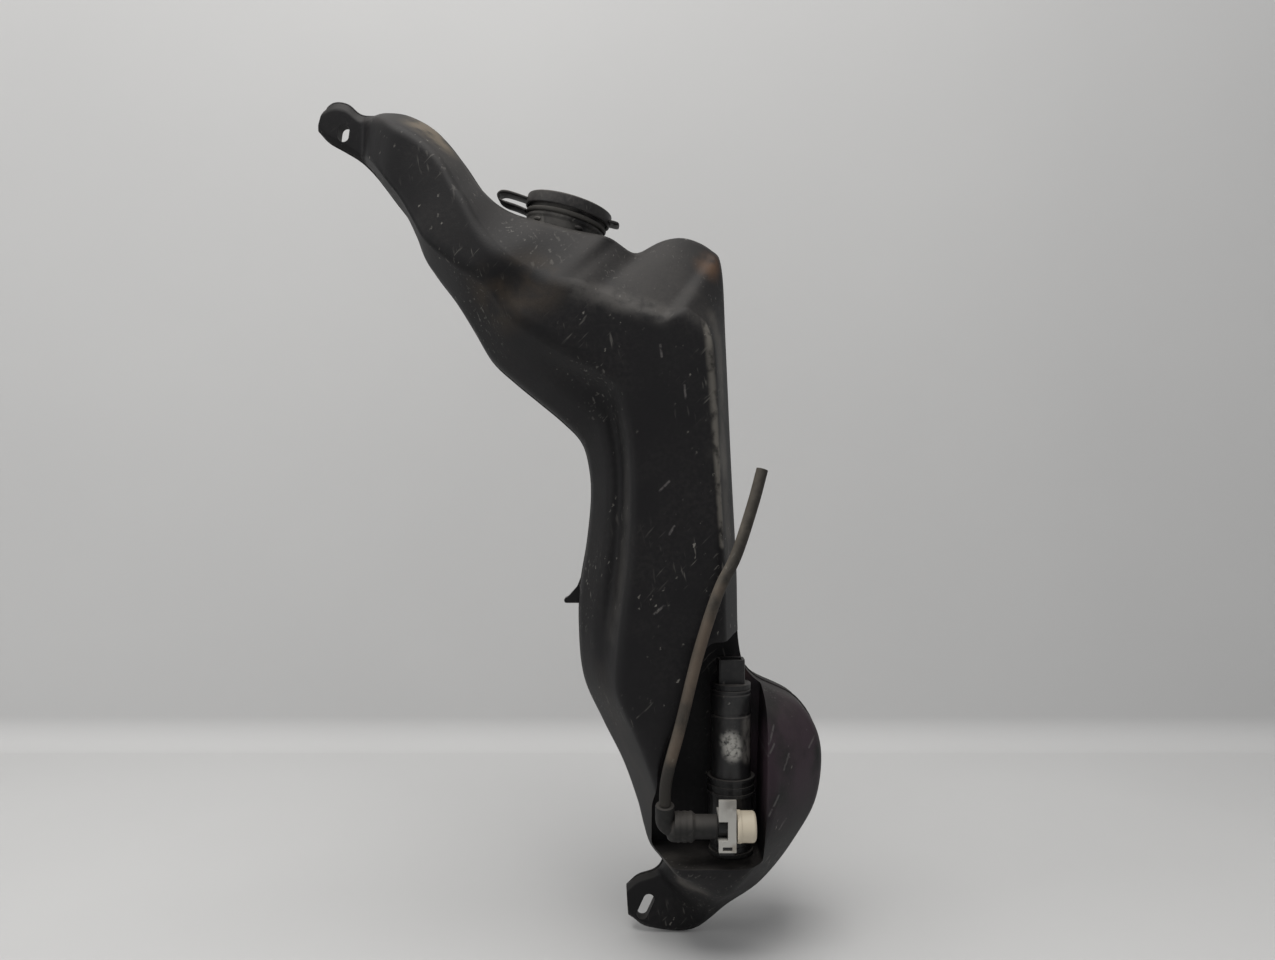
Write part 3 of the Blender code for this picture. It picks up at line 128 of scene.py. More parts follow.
def grid_mesh(name: str, grid: Array, ends: Edge = Edge.CAPPED, sharp: float = 35.0) -> Piece:
    """Makes a mesh from rings of points: neighbouring rings are joined by quads, and each ring closes on itself.

    Its faces are turned outwards and shaded smooth.

    Args:
        name: the object's name.
        grid: rings x points x 3, in metres.
        ends: whether the first and last ring are capped or joined to each other.
        sharp: edges steeper than this angle in degrees stay crisp.

    Returns:
        The linked object, at the origin.
    """
    rings, count = grid.shape[:2]
    index = np.arange(rings * count).reshape(rings, count)
    if ends is Edge.JOINED:
        index = np.concatenate([index, index[:1]])
    around = np.roll(index, -1, axis=1)
    quads = np.stack([index[:-1], around[:-1], around[1:], index[1:]], axis=2).reshape(-1, 4).tolist()
    if ends is Edge.CAPPED:
        quads.append(index[0].tolist())
        quads.append(index[-1].tolist())
    mesh = bpy.data.meshes.new(name)
    mesh.from_pydata(grid.reshape(-1, 3).tolist(), [], quads)
    bm = bmesh.new()
    bm.from_mesh(mesh)
    bmesh.ops.remove_doubles(bm, verts=bm.verts, dist=1e-7)
    bmesh.ops.recalc_face_normals(bm, faces=bm.faces)
    bm.to_mesh(mesh)
    bm.free()
    mesh.shade_smooth()
    mesh.set_sharp_from_angle(angle=math.radians(sharp))
    return placed(name, mesh)


def corner_curves(points: Array, radius: float | Array, steps: int) -> Array:
    """A small parabola for each corner c of a closed polyline: (1-t)^2 a + 2t(1-t) c + t^2 b between its sides.

    Args:
        points: corners, as rows, with any axes before them.
        radius: how far from the corner the curve starts, limited to 0.45 of each side.
        steps: points per corner.

    Returns:
        The curves, with an axis for the steps after that of the corners.
    """
    before = np.roll(points, 1, axis=-2) - points
    after = np.roll(points, -1, axis=-2) - points
    near = np.maximum(np.linalg.norm(before, axis=-1, keepdims=True), 1e-9)
    far = np.maximum(np.linalg.norm(after, axis=-1, keepdims=True), 1e-9)
    a = (points + before * np.minimum(radius / near, 0.45))[..., None, :]
    b = (points + after * np.minimum(radius / far, 0.45))[..., None, :]
    t = np.linspace(0, 1, steps)[:, None]
    return (1 - t) ** 2 * a + 2 * t * (1 - t) * points[..., None, :] + t**2 * b


def rounded(points: Array, radius: float, steps: int, closed: bool = True) -> Array:
    """Rounds a polyline's corners.

    Args:
        points: corners, as rows of any dimension.
        radius: how far from each corner its curve starts.
        steps: points per corner.
        closed: whether the last corner joins the first.

    Returns:
        The rounded polyline's points.
    """
    curve = corner_curves(points, radius, steps)
    if not closed:
        curve[0], curve[-1] = points[0], points[-1]
    return curve.reshape(-1, points.shape[1])


def revolved(profile: Array, steps: int) -> Array:
    """Turns a profile with rows of radius and height about Z: (r cos a, r sin a, z) at even angles a."""
    r, z, angle = profile[:, :1], profile[:, 1:], turns(steps)
    return np.stack([r * np.cos(angle), r * np.sin(angle), z + 0 * angle], axis=2)


def cylinder(radius: float, low: float, high: float) -> Array:
    """The profile of a plain cylinder between two levels."""
    return np.array([(AXIS, low), (radius, low), (radius, high), (AXIS, high)])


def swept(path: Array, radius: float | Array, steps: int, reference: Point = (0.0, 1.0, 0.0)) -> Array:
    """Carries a circle along a path: P + r (n cos a + b sin a), with n square to the path near the reference.

    Args:
        path: centreline points.
        radius: the circle's radius, or its radius at each point.
        steps: points round the circle.
        reference: a direction that the path never follows.

    Returns:
        A grid of path points x steps x 3.
    """
    along = unit(np.gradient(path, axis=0))
    normal = unit(reference - (along @ reference)[:, None] * along)
    side = np.cross(along, normal)
    angle = turns(steps)[None, :, None]
    circle = normal[:, None] * np.cos(angle) + side[:, None] * np.sin(angle)
    return path[:, None] + circle * np.broadcast_to(radius, len(path))[:, None, None]


def extruded(outline: Array, *levels: float) -> Array:
    """Rings of an outline in X and Z, or of one outline for each ring, at levels of Y."""
    flat = np.broadcast_to(outline, (len(levels), *outline.shape[-2:]))
    return np.stack([flat[..., 0], np.broadcast_to(np.array(levels)[:, None], flat.shape[:2]), flat[..., 1]], axis=2)


def leaning(points: Array) -> Array:
    """Moves points from the filler neck's own frame to the row frame: R_y(lean) p + base."""
    c, s = math.cos(NECK_LEAN), math.sin(NECK_LEAN)
    return points @ np.array([[c, 0, -s], [0, 1, 0], [s, 0, c]]) + NECK_BASE


def smooth_curve(points: Array, count: int) -> Array:
    """A Catmull-Rom curve through points, resampled to even steps along its length.

    Args:
        points: the points that the curve passes through.
        count: points of the result.

    Returns:
        count x 3 points.
    """
    at = np.linspace(0, len(points) - 1, 60 * len(points))
    fine = flowing(points, at)
    run = np.concatenate([[0], np.cumsum(np.linalg.norm(np.diff(fine, axis=0), axis=1))])
    even = np.linspace(0, run[-1], count)
    return np.stack([np.interp(even, run, fine[:, k]) for k in range(3)], axis=1)


def flowing(v: Array, at: Array) -> Array:
    """Catmull-Rom interpolation between rows.

    Args:
        v: the rows.
        at: fractional row numbers.

    Returns:
        A row for each number.
    """
    padded = np.concatenate([2 * v[:1] - v[1:2], v, 2 * v[-1:] - v[-2:-1]])
    i = np.minimum(at.astype(int), len(v) - 2)
    t = (at - i)[:, None]
    a, b, c, d = (padded[i + k] for k in range(4))
    return 0.5 * (2 * b + (c - a) * t + (2 * a - 5 * b + 4 * c - d) * t**2 + (3 * b - a - 3 * c + d) * t**3)


def easing(v: Array, at: Array) -> Array:
    """Monotone cubic interpolation, which never passes beyond its neighbours.

    Args:
        v: the values.
        at: fractional places among them.

    Returns:
        A value for each place.
    """
    rise = np.diff(v)
    both = rise[:-1] * rise[1:]
    mean = np.where(both > 0, 2 * both / np.where(both > 0, rise[:-1] + rise[1:], 1), 0)
    slope = np.concatenate([[0], mean, [0]])
    i = np.minimum(at.astype(int), len(v) - 2)
    t = at - i
    start = v[i] * (1 + 2 * t) * (1 - t) ** 2 + slope[i] * t * (1 - t) ** 2
    return start + v[i + 1] * t**2 * (3 - 2 * t) + slope[i + 1] * t**2 * (t - 1)


# Finishes

# The shared wear: noise scales per metre, leans in radians, sizes in metres and shares
UP_RANGE = (-0.05, 0.75)
PATCH_SCALE = 28.0
FILM_SCALE = 420.0
FILM_SHARE = 0.28
SPECK_LEAN = 0.50
SPECK_STRETCH = 1.9
RIPPLE_SCALE = 700.0
RIPPLE_SIZE = 0.0022
SPECK_CELLS = ((300.0, 0.20), (150.0, 0.13))
SCUFF_LINES = ((0.75, 1 / 520), (-0.20, 1 / 420))
SCUFF_LENGTH = 1 / 62
SCUFF_SHARE = 0.45
GRAIN_LAYERS = ((900.0, 3.0), (120.0, 4.0))
GRAIN_HEIGHT = 0.0006
DARK_SHARE = 0.72
DUSTY_ROUGHNESS = 0.85
SCRATCH_DEPTH = (-0.028, -0.020)


class Graph:
    """A shader node tree with short ways to add nodes to it."""

    def __init__(self, tree: bpy.types.NodeTree) -> None:
        """Takes the tree to add to."""
        self.tree = tree

    def feed(self, node: bpy.types.Node, **inputs: object) -> bpy.types.Node:
        """Fills a node's inputs.

        Args:
            node: the node.
            inputs: socket values, or sockets to link; a name such as i0 stands for a socket's number.

        Returns:
            The node.
        """
        for key, value in inputs.items():
            numbered = key[0] == "i" and key[1:].isdigit()
            socket = node.inputs[int(key[1:]) if numbered else key.replace("_", " ")]
            if isinstance(value, Socket):
                self.tree.links.new(value, socket)
            else:
                socket.default_value = value
        return node

    def add(self, kind: str, settings: dict | None = None, **inputs: object) -> bpy.types.Node:
        """Adds a shader node.

        Args:
            kind: the node's type, without ShaderNode before it.
            settings: properties of the node.
            inputs: what feed takes.

        Returns:
            The node.
        """
        node = self.tree.nodes.new(f"ShaderNode{kind}")
        for key, value in (settings or {}).items():
            setattr(node, key, value)
        return self.feed(node, **inputs)

    def maths(self, operation: str, a: Value, b: Value = 0.0) -> Socket:
        """A Math node's output for two values or sockets, clamped to 0 and 1."""
        return self.add("Math", {"operation": operation, "use_clamp": True}, i0=a, i1=b).outputs[0]

    def times(self, a: Value, b: Value) -> Socket:
        """The product of two values or sockets."""
        return self.maths("MULTIPLY", a, b)

    def vectors(self, operation: str, **inputs: object) -> Socket:
        """A Vector Math node's output: a number for lengths and dot products, and otherwise a vector."""
        node = self.add("VectorMath", {"operation": operation}, **inputs)
        return node.outputs["Value" if operation in ("LENGTH", "DOT_PRODUCT") else "Vector"]

    def leant(self, place: Socket, lean: float, size: Point) -> Socket:
        """Coordinates for a texture that is turned about Y by lean and stretched to size."""
        turn, kind = (0.0, lean, 0.0), {"vector_type": "TEXTURE"}
        return self.add("Mapping", kind, Vector=place, Rotation=turn, Scale=size).outputs[0]

    def ramp(self, value: Socket, low: float, high: float) -> Socket:
        """0 below low, 1 above high, smooth between them."""
        kind = {"interpolation_type": "SMOOTHSTEP"}
        return self.add("MapRange", kind, Value=value, From_Min=low, From_Max=high).outputs["Result"]

    def mixed(self, factor: Socket, a: Socket | tuple, b: Socket | tuple) -> Socket:
        """A colour mix of two colours or sockets."""
        return self.add("Mix", {"data_type": "RGBA"}, i0=factor, i6=a, i7=b).outputs[2]

    def noise(self, vector: Socket, scale: float, detail: float) -> Socket:
        """A noise texture's value on a vector."""
        return self.add("TexNoise", Vector=vector, Scale=scale, Detail=detail).outputs["Fac"]


def wear_group() -> bpy.types.NodeTree:
    """The shared wear: dust that settles on faces that look up, light specks, streaks and a fine grain.

    Returns:
        A node group with Dust and Specks amounts in, and masks and a grain height out.
    """
    if "settled_wear" in bpy.data.node_groups:
        return bpy.data.node_groups["settled_wear"]
    tree = bpy.data.node_groups.new("settled_wear", "ShaderNodeTree")
    for side, names in (("INPUT", ("Dust", "Specks")), ("OUTPUT", ("Dust Mask", "Speck Mask", "Grain"))):
        for name in names:
            tree.interface.new_socket(name, in_out=side, socket_type="NodeSocketFloat")
    given = tree.nodes.new("NodeGroupInput").outputs
    result = tree.nodes.new("NodeGroupOutput")
    g = Graph(tree)
    place = g.add("TexCoord").outputs["Object"]
    normal = g.add("NewGeometry").outputs["Normal"]
    up = g.ramp(g.add("SeparateXYZ", Vector=normal).outputs["Z"], *UP_RANGE)

    patches = g.ramp(g.noise(place, PATCH_SCALE, 6.0), 0.35, 0.70)
    fine = g.ramp(g.noise(place, FILM_SCALE, 3.0), 0.30, 0.75)
    settled = g.times(up, g.maths("ADD", g.times(patches, 0.6), 0.45))
    film = g.times(g.times(patches, fine), FILM_SHARE)
    dust = g.times(g.maths("ADD", settled, film), given["Dust"])

    short = g.leant(place, SPECK_LEAN, (1.0, 1.0, SPECK_STRETCH))
    ripple = g.add("TexNoise", Vector=place, Scale=RIPPLE_SCALE, Detail=2.0).outputs["Color"]
    jagged = g.vectors("MULTIPLY_ADD", i0=ripple, i1=(RIPPLE_SIZE,) * 3, i2=short)
    some = g.ramp(g.noise(place, 30.0, 4.0), 0.46, 0.62)
    dots, scuffs = [], []
    for scale, size in SPECK_CELLS:
        cells = g.add("TexVoronoi", Vector=jagged, Scale=scale, Randomness=1.0).outputs
        spot = g.maths("SUBTRACT", 1.0, g.ramp(cells["Distance"], 0.03, size))
        draw = g.add("SeparateColor", Color=cells["Color"]).outputs[0]
        dots.append(g.times(spot, g.ramp(draw, 0.45, 0.95)))
    for lean, thin in SCUFF_LINES:
        lines = g.ramp(g.noise(g.leant(place, lean, (thin, thin, SCUFF_LENGTH)), 1.0, 2.0), 0.63, 0.74)
        scuffs.append(g.times(lines, g.ramp(g.noise(place, 16.0, 3.0), 0.50, 0.64)))
    flecks = g.times(g.maths("MAXIMUM", *dots), some)
    marks = g.maths("ADD", flecks, g.times(g.maths("MAXIMUM", *scuffs), SCUFF_SHARE))
    specks = g.times(marks, given["Specks"])

    layers = [g.times(g.noise(place, *layer), 0.5) for layer in GRAIN_LAYERS]
    g.feed(result, Dust_Mask=dust, Speck_Mask=specks, Grain=g.maths("ADD", *layers))
    return tree


class StainOrHighlight(NamedTuple):
    """A soft blot of colour round a place on the piece, or along a line when it has an end: a stain, a scratch, or a
    painted highlight where light catches an edge.

    Places and radius are in millimetres. A scratch is measured in X and Z alone and shows only on the front.
    """

    centre: Point
    radius: float
    colour: Colour
    strength: float
    end: Point | None = None
    ragged: float = 110.0
    scratch: bool = False


@dataclass(frozen=True)
class Finish:
    """A worn plastic, rubber or metal surface, with its stains, scratches and any painted highlights."""

    name: str
    colour: Colour
    roughness: float
    dust: float = 0.5
    specks: float = 0.3
    grain: float = 0.10
    metallic: float = 0.0
    specular: float = 0.35
    dust_colour: Colour = (0.115, 0.105, 0.095)
    speck_colour: Colour = (0.22, 0.21, 0.19)
    stains_and_highlights: tuple[StainOrHighlight, ...] = ()

    def material(self) -> bpy.types.Material:
        """Builds the material, or gives the one already built.

        Returns:
            A material with a Principled shader fed by the shared wear.
        """
        name = f"worn_{self.name}"
        if name in bpy.data.materials:
            return bpy.data.materials[name]
        material = bpy.data.materials.new(name)
        material.use_nodes = True
        g = Graph(material.node_tree)
        wear = g.add("Group", {"node_tree": wear_group()}, Dust=self.dust, Specks=self.specks).outputs
        place = g.add("TexCoord").outputs["Object"]
        darker = tuple(c * DARK_SHARE for c in self.colour)
        colour = g.mixed(g.noise(place, 14.0, 5.0), (*darker, 1.0), (*self.colour, 1.0))
        # Stains and painted highlights, then dust and specks, are mixed over the base colour in turn.
        layers = [(self.blot(g, place, stain_or_highlight), stain_or_highlight.colour) for stain_or_highlight in self.stains_and_highlights]
        layers += [(wear["Dust Mask"], self.dust_colour), (wear["Speck Mask"], self.speck_colour)]
        for mask, tint in layers:
            colour = g.mixed(mask, colour, (*tint, 1.0))
        rough = g.add("MapRange", Value=wear["Dust Mask"], To_Min=self.roughness, To_Max=DUSTY_ROUGHNESS)
        bump = g.add("Bump", Height=wear["Grain"], Strength=self.grain, Distance=GRAIN_HEIGHT)
        g.feed(
            g.tree.nodes["Principled BSDF"], Base_Color=colour, Roughness=rough.outputs["Result"],
            Normal=bump.outputs["Normal"], Metallic=self.metallic, Specular_IOR_Level=self.specular,
        )
        return material

    @staticmethod
    def blot(g: Graph, place: Socket, stain_or_highlight: StainOrHighlight) -> Socket:
        """A mask round the centre of a stain or painted highlight, with a ragged edge.

        Args:
            g: the material's nodes.
            place: the object coordinates.
            stain_or_highlight: the stain or painted highlight.

        Returns:
            The mask's socket.
        """
        centre, radius = metres(stain_or_highlight.centre), metres(stain_or_highlight.radius)
        away = g.vectors("SUBTRACT", i0=place, i1=centre)
        if stain_or_highlight.scratch:
            away = g.vectors("MULTIPLY", i0=away, i1=(1.0, 0.0, 1.0))
        if stain_or_highlight.end is not None:
            line = metres(stain_or_highlight.end) - centre
            share = g.maths("ADD", g.vectors("DOT_PRODUCT", i0=away, i1=line / (line @ line)))
            away = g.vectors("SUBTRACT", i0=away, i1=g.vectors("SCALE", i0=line, Scale=share))
        gap = g.vectors("LENGTH", i0=away)
        inside = g.maths("SUBTRACT", 1.0, g.ramp(gap, radius * 0.25, radius))
        ragged = g.ramp(g.noise(place, stain_or_highlight.ragged, 5.0), 0.28, 0.58)
        if stain_or_highlight.scratch:
            depth = g.add("SeparateXYZ", Vector=place).outputs["Y"]
            inside = g.times(inside, g.maths("SUBTRACT", 1.0, g.ramp(depth, *SCRATCH_DEPTH)))
        return g.times(g.times(inside, ragged), stain_or_highlight.strength)


SCRATCHES = tuple(
    StainOrHighlight((x0, 0.0, z0), 0.9, (0.120, 0.112, 0.110), 0.60, (x1, 0.0, z1), 420.0, True)
    for x0, z0, x1, z1 in (
        (53, 75.3, 58.5, 85.1), (53, 113.8, 56.6, 121.9), (52.5, 107.6, 56.2, 112.9),
        (79.6, 104.4, 83.7, 109.1), (-9.1, 184.5, -3.8, 189), (-6.5, 250.7, -1.1, 256.1),
        (-1.1, 227.5, 1.6, 231.9), (62, 98, 65.5, 105), (7, 308, 7.8, 301), (60, 64, 64, 69),
        (-6, 330, -5.2, 323.5), (-18, 9, -12, 20),
    )
)
TANK_PLASTIC = Finish(
    "tank_polyethylene", (0.0080, 0.0076, 0.0086), 0.54, dust=0.22, specks=0.85, grain=0.26, specular=0.20,
    stains_and_highlights=(
        StainOrHighlight((66.3, -40, 107), 55, (0.036, 0.021, 0.030), 0.85, ragged=45.0),
        # Painted highlight: a pale line of colour down the front ridge, where its edge catches the light.
        StainOrHighlight((-16.9, -47, 270.7), 11, (0.052, 0.049, 0.046), 0.40, (-30.8, -47, 173.4), 60.0),
        StainOrHighlight((-33.6, -38, 142.8), 17, (0.026, 0.022, 0.019), 0.35, (-11.9, -38, 78.3), 55.0),
        StainOrHighlight((27, -45, 345), 12, (0.085, 0.078, 0.068), 0.55, (34.5, -45, 212.8), 70.0),
        StainOrHighlight((-56, -40, 400), 40, (0.034, 0.031, 0.033), 0.10, (5, -45, 380), 60.0),
        StainOrHighlight((-138.5, -24, 462), 20, (0.160, 0.128, 0.090), 0.80, (-133, -24, 456), 105.0),
        StainOrHighlight((27, -36, 383), 17, (0.120, 0.064, 0.034), 0.85, ragged=80.0),
        StainOrHighlight((40, -26, 144), 14, (0.110, 0.060, 0.058), 0.55),
        StainOrHighlight((-95, -52, 356), 26, (0.040, 0.029, 0.019), 0.65, (-75, -54, 364), 50.0),
        StainOrHighlight((29, -50, 270), 16, (0.160, 0.150, 0.130), 0.35),
        StainOrHighlight((-61.2, -14, 405.5), 32, (0.215, 0.206, 0.190), 0.90, ragged=75.0),
        StainOrHighlight((19, -58, 345), 3.6, (0.220, 0.205, 0.180), 0.60, (28.5, -58, 222), 150.0),
        StainOrHighlight((-48.5, -55, 358.2), 11, (0.080, 0.075, 0.070), 0.45, (-5.5, -55, 346.7), 170.0),
        StainOrHighlight((1, -45, 39.5), 16, (0.085, 0.078, 0.070), 0.70, (13, -40, 30), 60.0),
        *SCRATCHES,
    ),
)
LID_PLASTIC = Finish("lid_plastic", (0.020, 0.019, 0.019), 0.48, dust=0.75, specks=0.60, grain=0.18)
COLLAR_PLASTIC = Finish(
    "collar_plastic", (0.062, 0.059, 0.054), 0.56, dust=0.60, specks=0.50, grain=0.18, specular=0.22,
)
PUMP_PLASTIC = Finish("pump_plastic", (0.013, 0.013, 0.014), 0.40, dust=0.40, specks=0.45)
CAN_FINISH = Finish(
    "can_sleeve", (0.014, 0.014, 0.015), 0.36, dust=0.45, specks=0.9, specular=0.45,
    stains_and_highlights=(
        StainOrHighlight((33.5, -45.5, 111), 8.2, (0.40, 0.39, 0.36), 1.0, (35, -45.5, 106), 420.0),
        StainOrHighlight((43, -41, 102), 6, (0.16, 0.15, 0.14), 0.8, (43, -41, 122), 180.0),
    ),
)
RUBBER = Finish("black_rubber", (0.015, 0.0148, 0.0145), 0.62, dust=0.60, specks=0.30, specular=0.25)
HOSE_RUBBER = Finish(
    "hose_rubber", (0.034, 0.031, 0.027), 0.66, dust=1.0, specks=0.35, specular=0.22,
    dust_colour=(0.150, 0.132, 0.108),
    stains_and_highlights=(StainOrHighlight((1, -68, 110), 8, (0.115, 0.088, 0.066), 0.75, (25, -68, 197), 40.0),),
)
CLIP_NYLON = Finish(
    "clip_nylon", (0.46, 0.45, 0.42), 0.46, dust=0.45, specks=0.3, dust_colour=(0.17, 0.15, 0.125),
    stains_and_highlights=(StainOrHighlight((34, -64, 83), 10, (0.17, 0.16, 0.145), 0.75, ragged=160.0),
            StainOrHighlight((34, -64, 59), 4, (0.20, 0.17, 0.13), 0.60, ragged=200.0)),
)
CAP_NYLON = Finish("cream_nylon", (0.62, 0.55, 0.43), 0.46, dust=0.30, specks=0.2, dust_colour=(0.28, 0.23, 0.17))
PALE_PLASTIC = Finish("strainer_plastic", (0.48, 0.48, 0.46), 0.5, dust=0.2)
STEEL = Finish("plain_steel", (0.52, 0.52, 0.51), 0.34, dust=0.1, specks=0.1, metallic=1.0, specular=0.5)
FERRITE = Finish("ferrite", (0.06, 0.06, 0.06), 0.6, dust=0.1)
BRONZE = Finish("sintered_bronze", (0.45, 0.30, 0.16), 0.42, dust=0.1, metallic=1.0, specular=0.5)
CARBON = Finish("carbon", (0.02, 0.02, 0.02), 0.55, dust=0.1)
COPPER = Finish("copper_wire", (0.55, 0.25, 0.12), 0.38, dust=0.1, metallic=1.0, specular=0.5)
BRASS = Finish("brass", (0.60, 0.46, 0.20), 0.33, dust=0.1, metallic=1.0, specular=0.5)

CAD_FINISHES: dict[str, Finish] = {
    name: finish
    for finish, names in (
        (RUBBER, "pump_grommet can_seal shaft_seal outlet_o_ring lid_seal"),
        (PUMP_PLASTIC, "pump_base volute_housing motor_end_cover brush_plate impeller"),
        (PALE_PLASTIC, "inlet_strainer"), (FERRITE, "magnet_front magnet_rear"), (BRONZE, "lower_bush upper_bush"),
        (CARBON, "brush_left brush_right"), (COPPER, "winding_lower winding_upper"),
        (BRASS, "commutator terminal_left terminal_right"), (STEEL, "motor_shaft armature_core"),
        (CLIP_NYLON, "connector_clip"),
    )
    for name in names.split()
}

SOFT_EDGES: dict[str, float] = {"connector_clip": 0.00045, "motor_end_cover": 0.0005, "pump_grommet": 0.0005}


def dressed(obj: Piece, finish: Finish, body: Body, *nodes: str) -> None:
    """Gives a piece its finish and body, and lets it stand for CAD nodes.

    Args:
        obj: the piece.
        finish: its finish.
        body: the body it rides on.
        nodes: CAD nodes that it replaces.
    """
    obj.data.materials.clear()
    obj.data.materials.append(finish.material())
    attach(obj, body.value)
    if nodes:
        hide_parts(*nodes)
    LOG.info("%s: %d faces", obj.name, len(obj.data.polygons))


# Sub-assemblies


# Cuts across the tank, with lengths in millimetres: left edge in X and Z, right edge in X and Z, swell, left bevel's
# width and the wall's share below it, right bevel's width and the wall's share below it, shelf
STATIONS = np.array([
    (-209.4, 465.5, -206, 478, 0.00, 3, 0.40, 4, 0.25, 0.0),
    (-203, 459.5, -200, 482.5, 0.00, 3, 0.40, 5, 0.20, 0.0),
    (-192.6, 453.6, -192, 481.5, 0.00, 3, 0.40, 5, 0.20, 0.0),
    (-183, 447.5, -183, 475, 0.00, 3, 0.40, 5, 0.20, 0.0),
    (-174, 438.5, -167, 474.6, 0.40, 4, 0.50, 10, 0.30, 0.0),
    (-162.6, 423.6, -152, 471.5, 0.62, 5, 0.55, 16, 0.30, 0.0),
    (-152, 409.5, -136, 462, 0.68, 5, 0.55, 15, 0.30, 0.0),
    (-145.5, 396, -122, 445, 0.74, 6, 0.50, 12, 0.30, 0.0),
    (-140, 382, -109, 426.5, 0.82, 9, 0.42, 13, 0.35, 0.0),
    (-126, 363, -92, 411.5, 0.92, 15, 0.34, 22, 0.50, 0.0),
    (-115.2, 345.6, -66, 401.5, 1.00, 24, 0.28, 35, 0.62, 0.0),
    (-104.4, 327.6, -39, 395.8, 1.00, 26, 0.26, 42, 0.62, 0.0),
    (-91, 315, -27, 395, 1.00, 28, 0.26, 41, 0.50, 0.0),
    (-77, 303.5, -12, 394.8, 1.00, 30, 0.26, 48, 0.40, 0.2),
    (-62, 291, 8.5, 398, 1.00, 34, 0.26, 58, 0.34, 0.5),
    (-51, 279, 24.5, 391.5, 1.00, 37, 0.26, 56, 0.32, 0.8),
    (-46.5, 263, 31, 380, 1.00, 38, 0.26, 40, 0.32, 1.0),
    (-45.6, 245, 33.2, 335, 1.00, 36, 0.26, 15, 0.34, 1.0),
    (-48, 220, 36, 270, 1.00, 31, 0.26, 12, 0.36, 1.0),
    (-52, 195, 39.2, 208, 1.00, 28, 0.26, 11, 0.36, 1.0),
    (-52.8, 170, 41, 160, 1.00, 25, 0.25, 11, 0.36, 0.7),
    (-50, 141, 50, 141, 1.00, 22, 0.22, 14, 0.36, 0.1),
    (-39, 115.8, 76, 126.8, 1.00, 21, 0.20, 28, 0.34, 0.0),
    (-27, 91.8, 88.5, 104, 1.00, 18, 0.20, 34, 0.32, 0.0),
    (-18, 67, 86.5, 73, 1.00, 16, 0.22, 34, 0.32, 0.0),
    (-11.4, 44, 73.5, 49, 0.98, 13, 0.24, 30, 0.34, 0.0),
    (-2, 38.5, 55.5, 24, 0.84, 10, 0.28, 24, 0.32, 0.0),
    (-3, 29, 35, 5, 0.38, 7, 0.34, 14, 0.30, 0.0),
    (-8, 23.2, 15, -11.5, 0.00, 3, 0.40, 3, 0.40, 0.0),
    (-18.5, 19.5, -11, -10.5, 0.00, 3, 0.40, 3, 0.40, 0.0),
    (-25, 14, -23.8, -3.5, 0.00, 3, 0.40, 3, 0.40, 0.0),
])
LENGTHS = [0, 1, 2, 3, 5, 7]
STATIONS[:, LENGTHS] = metres(STATIONS[:, LENGTHS])


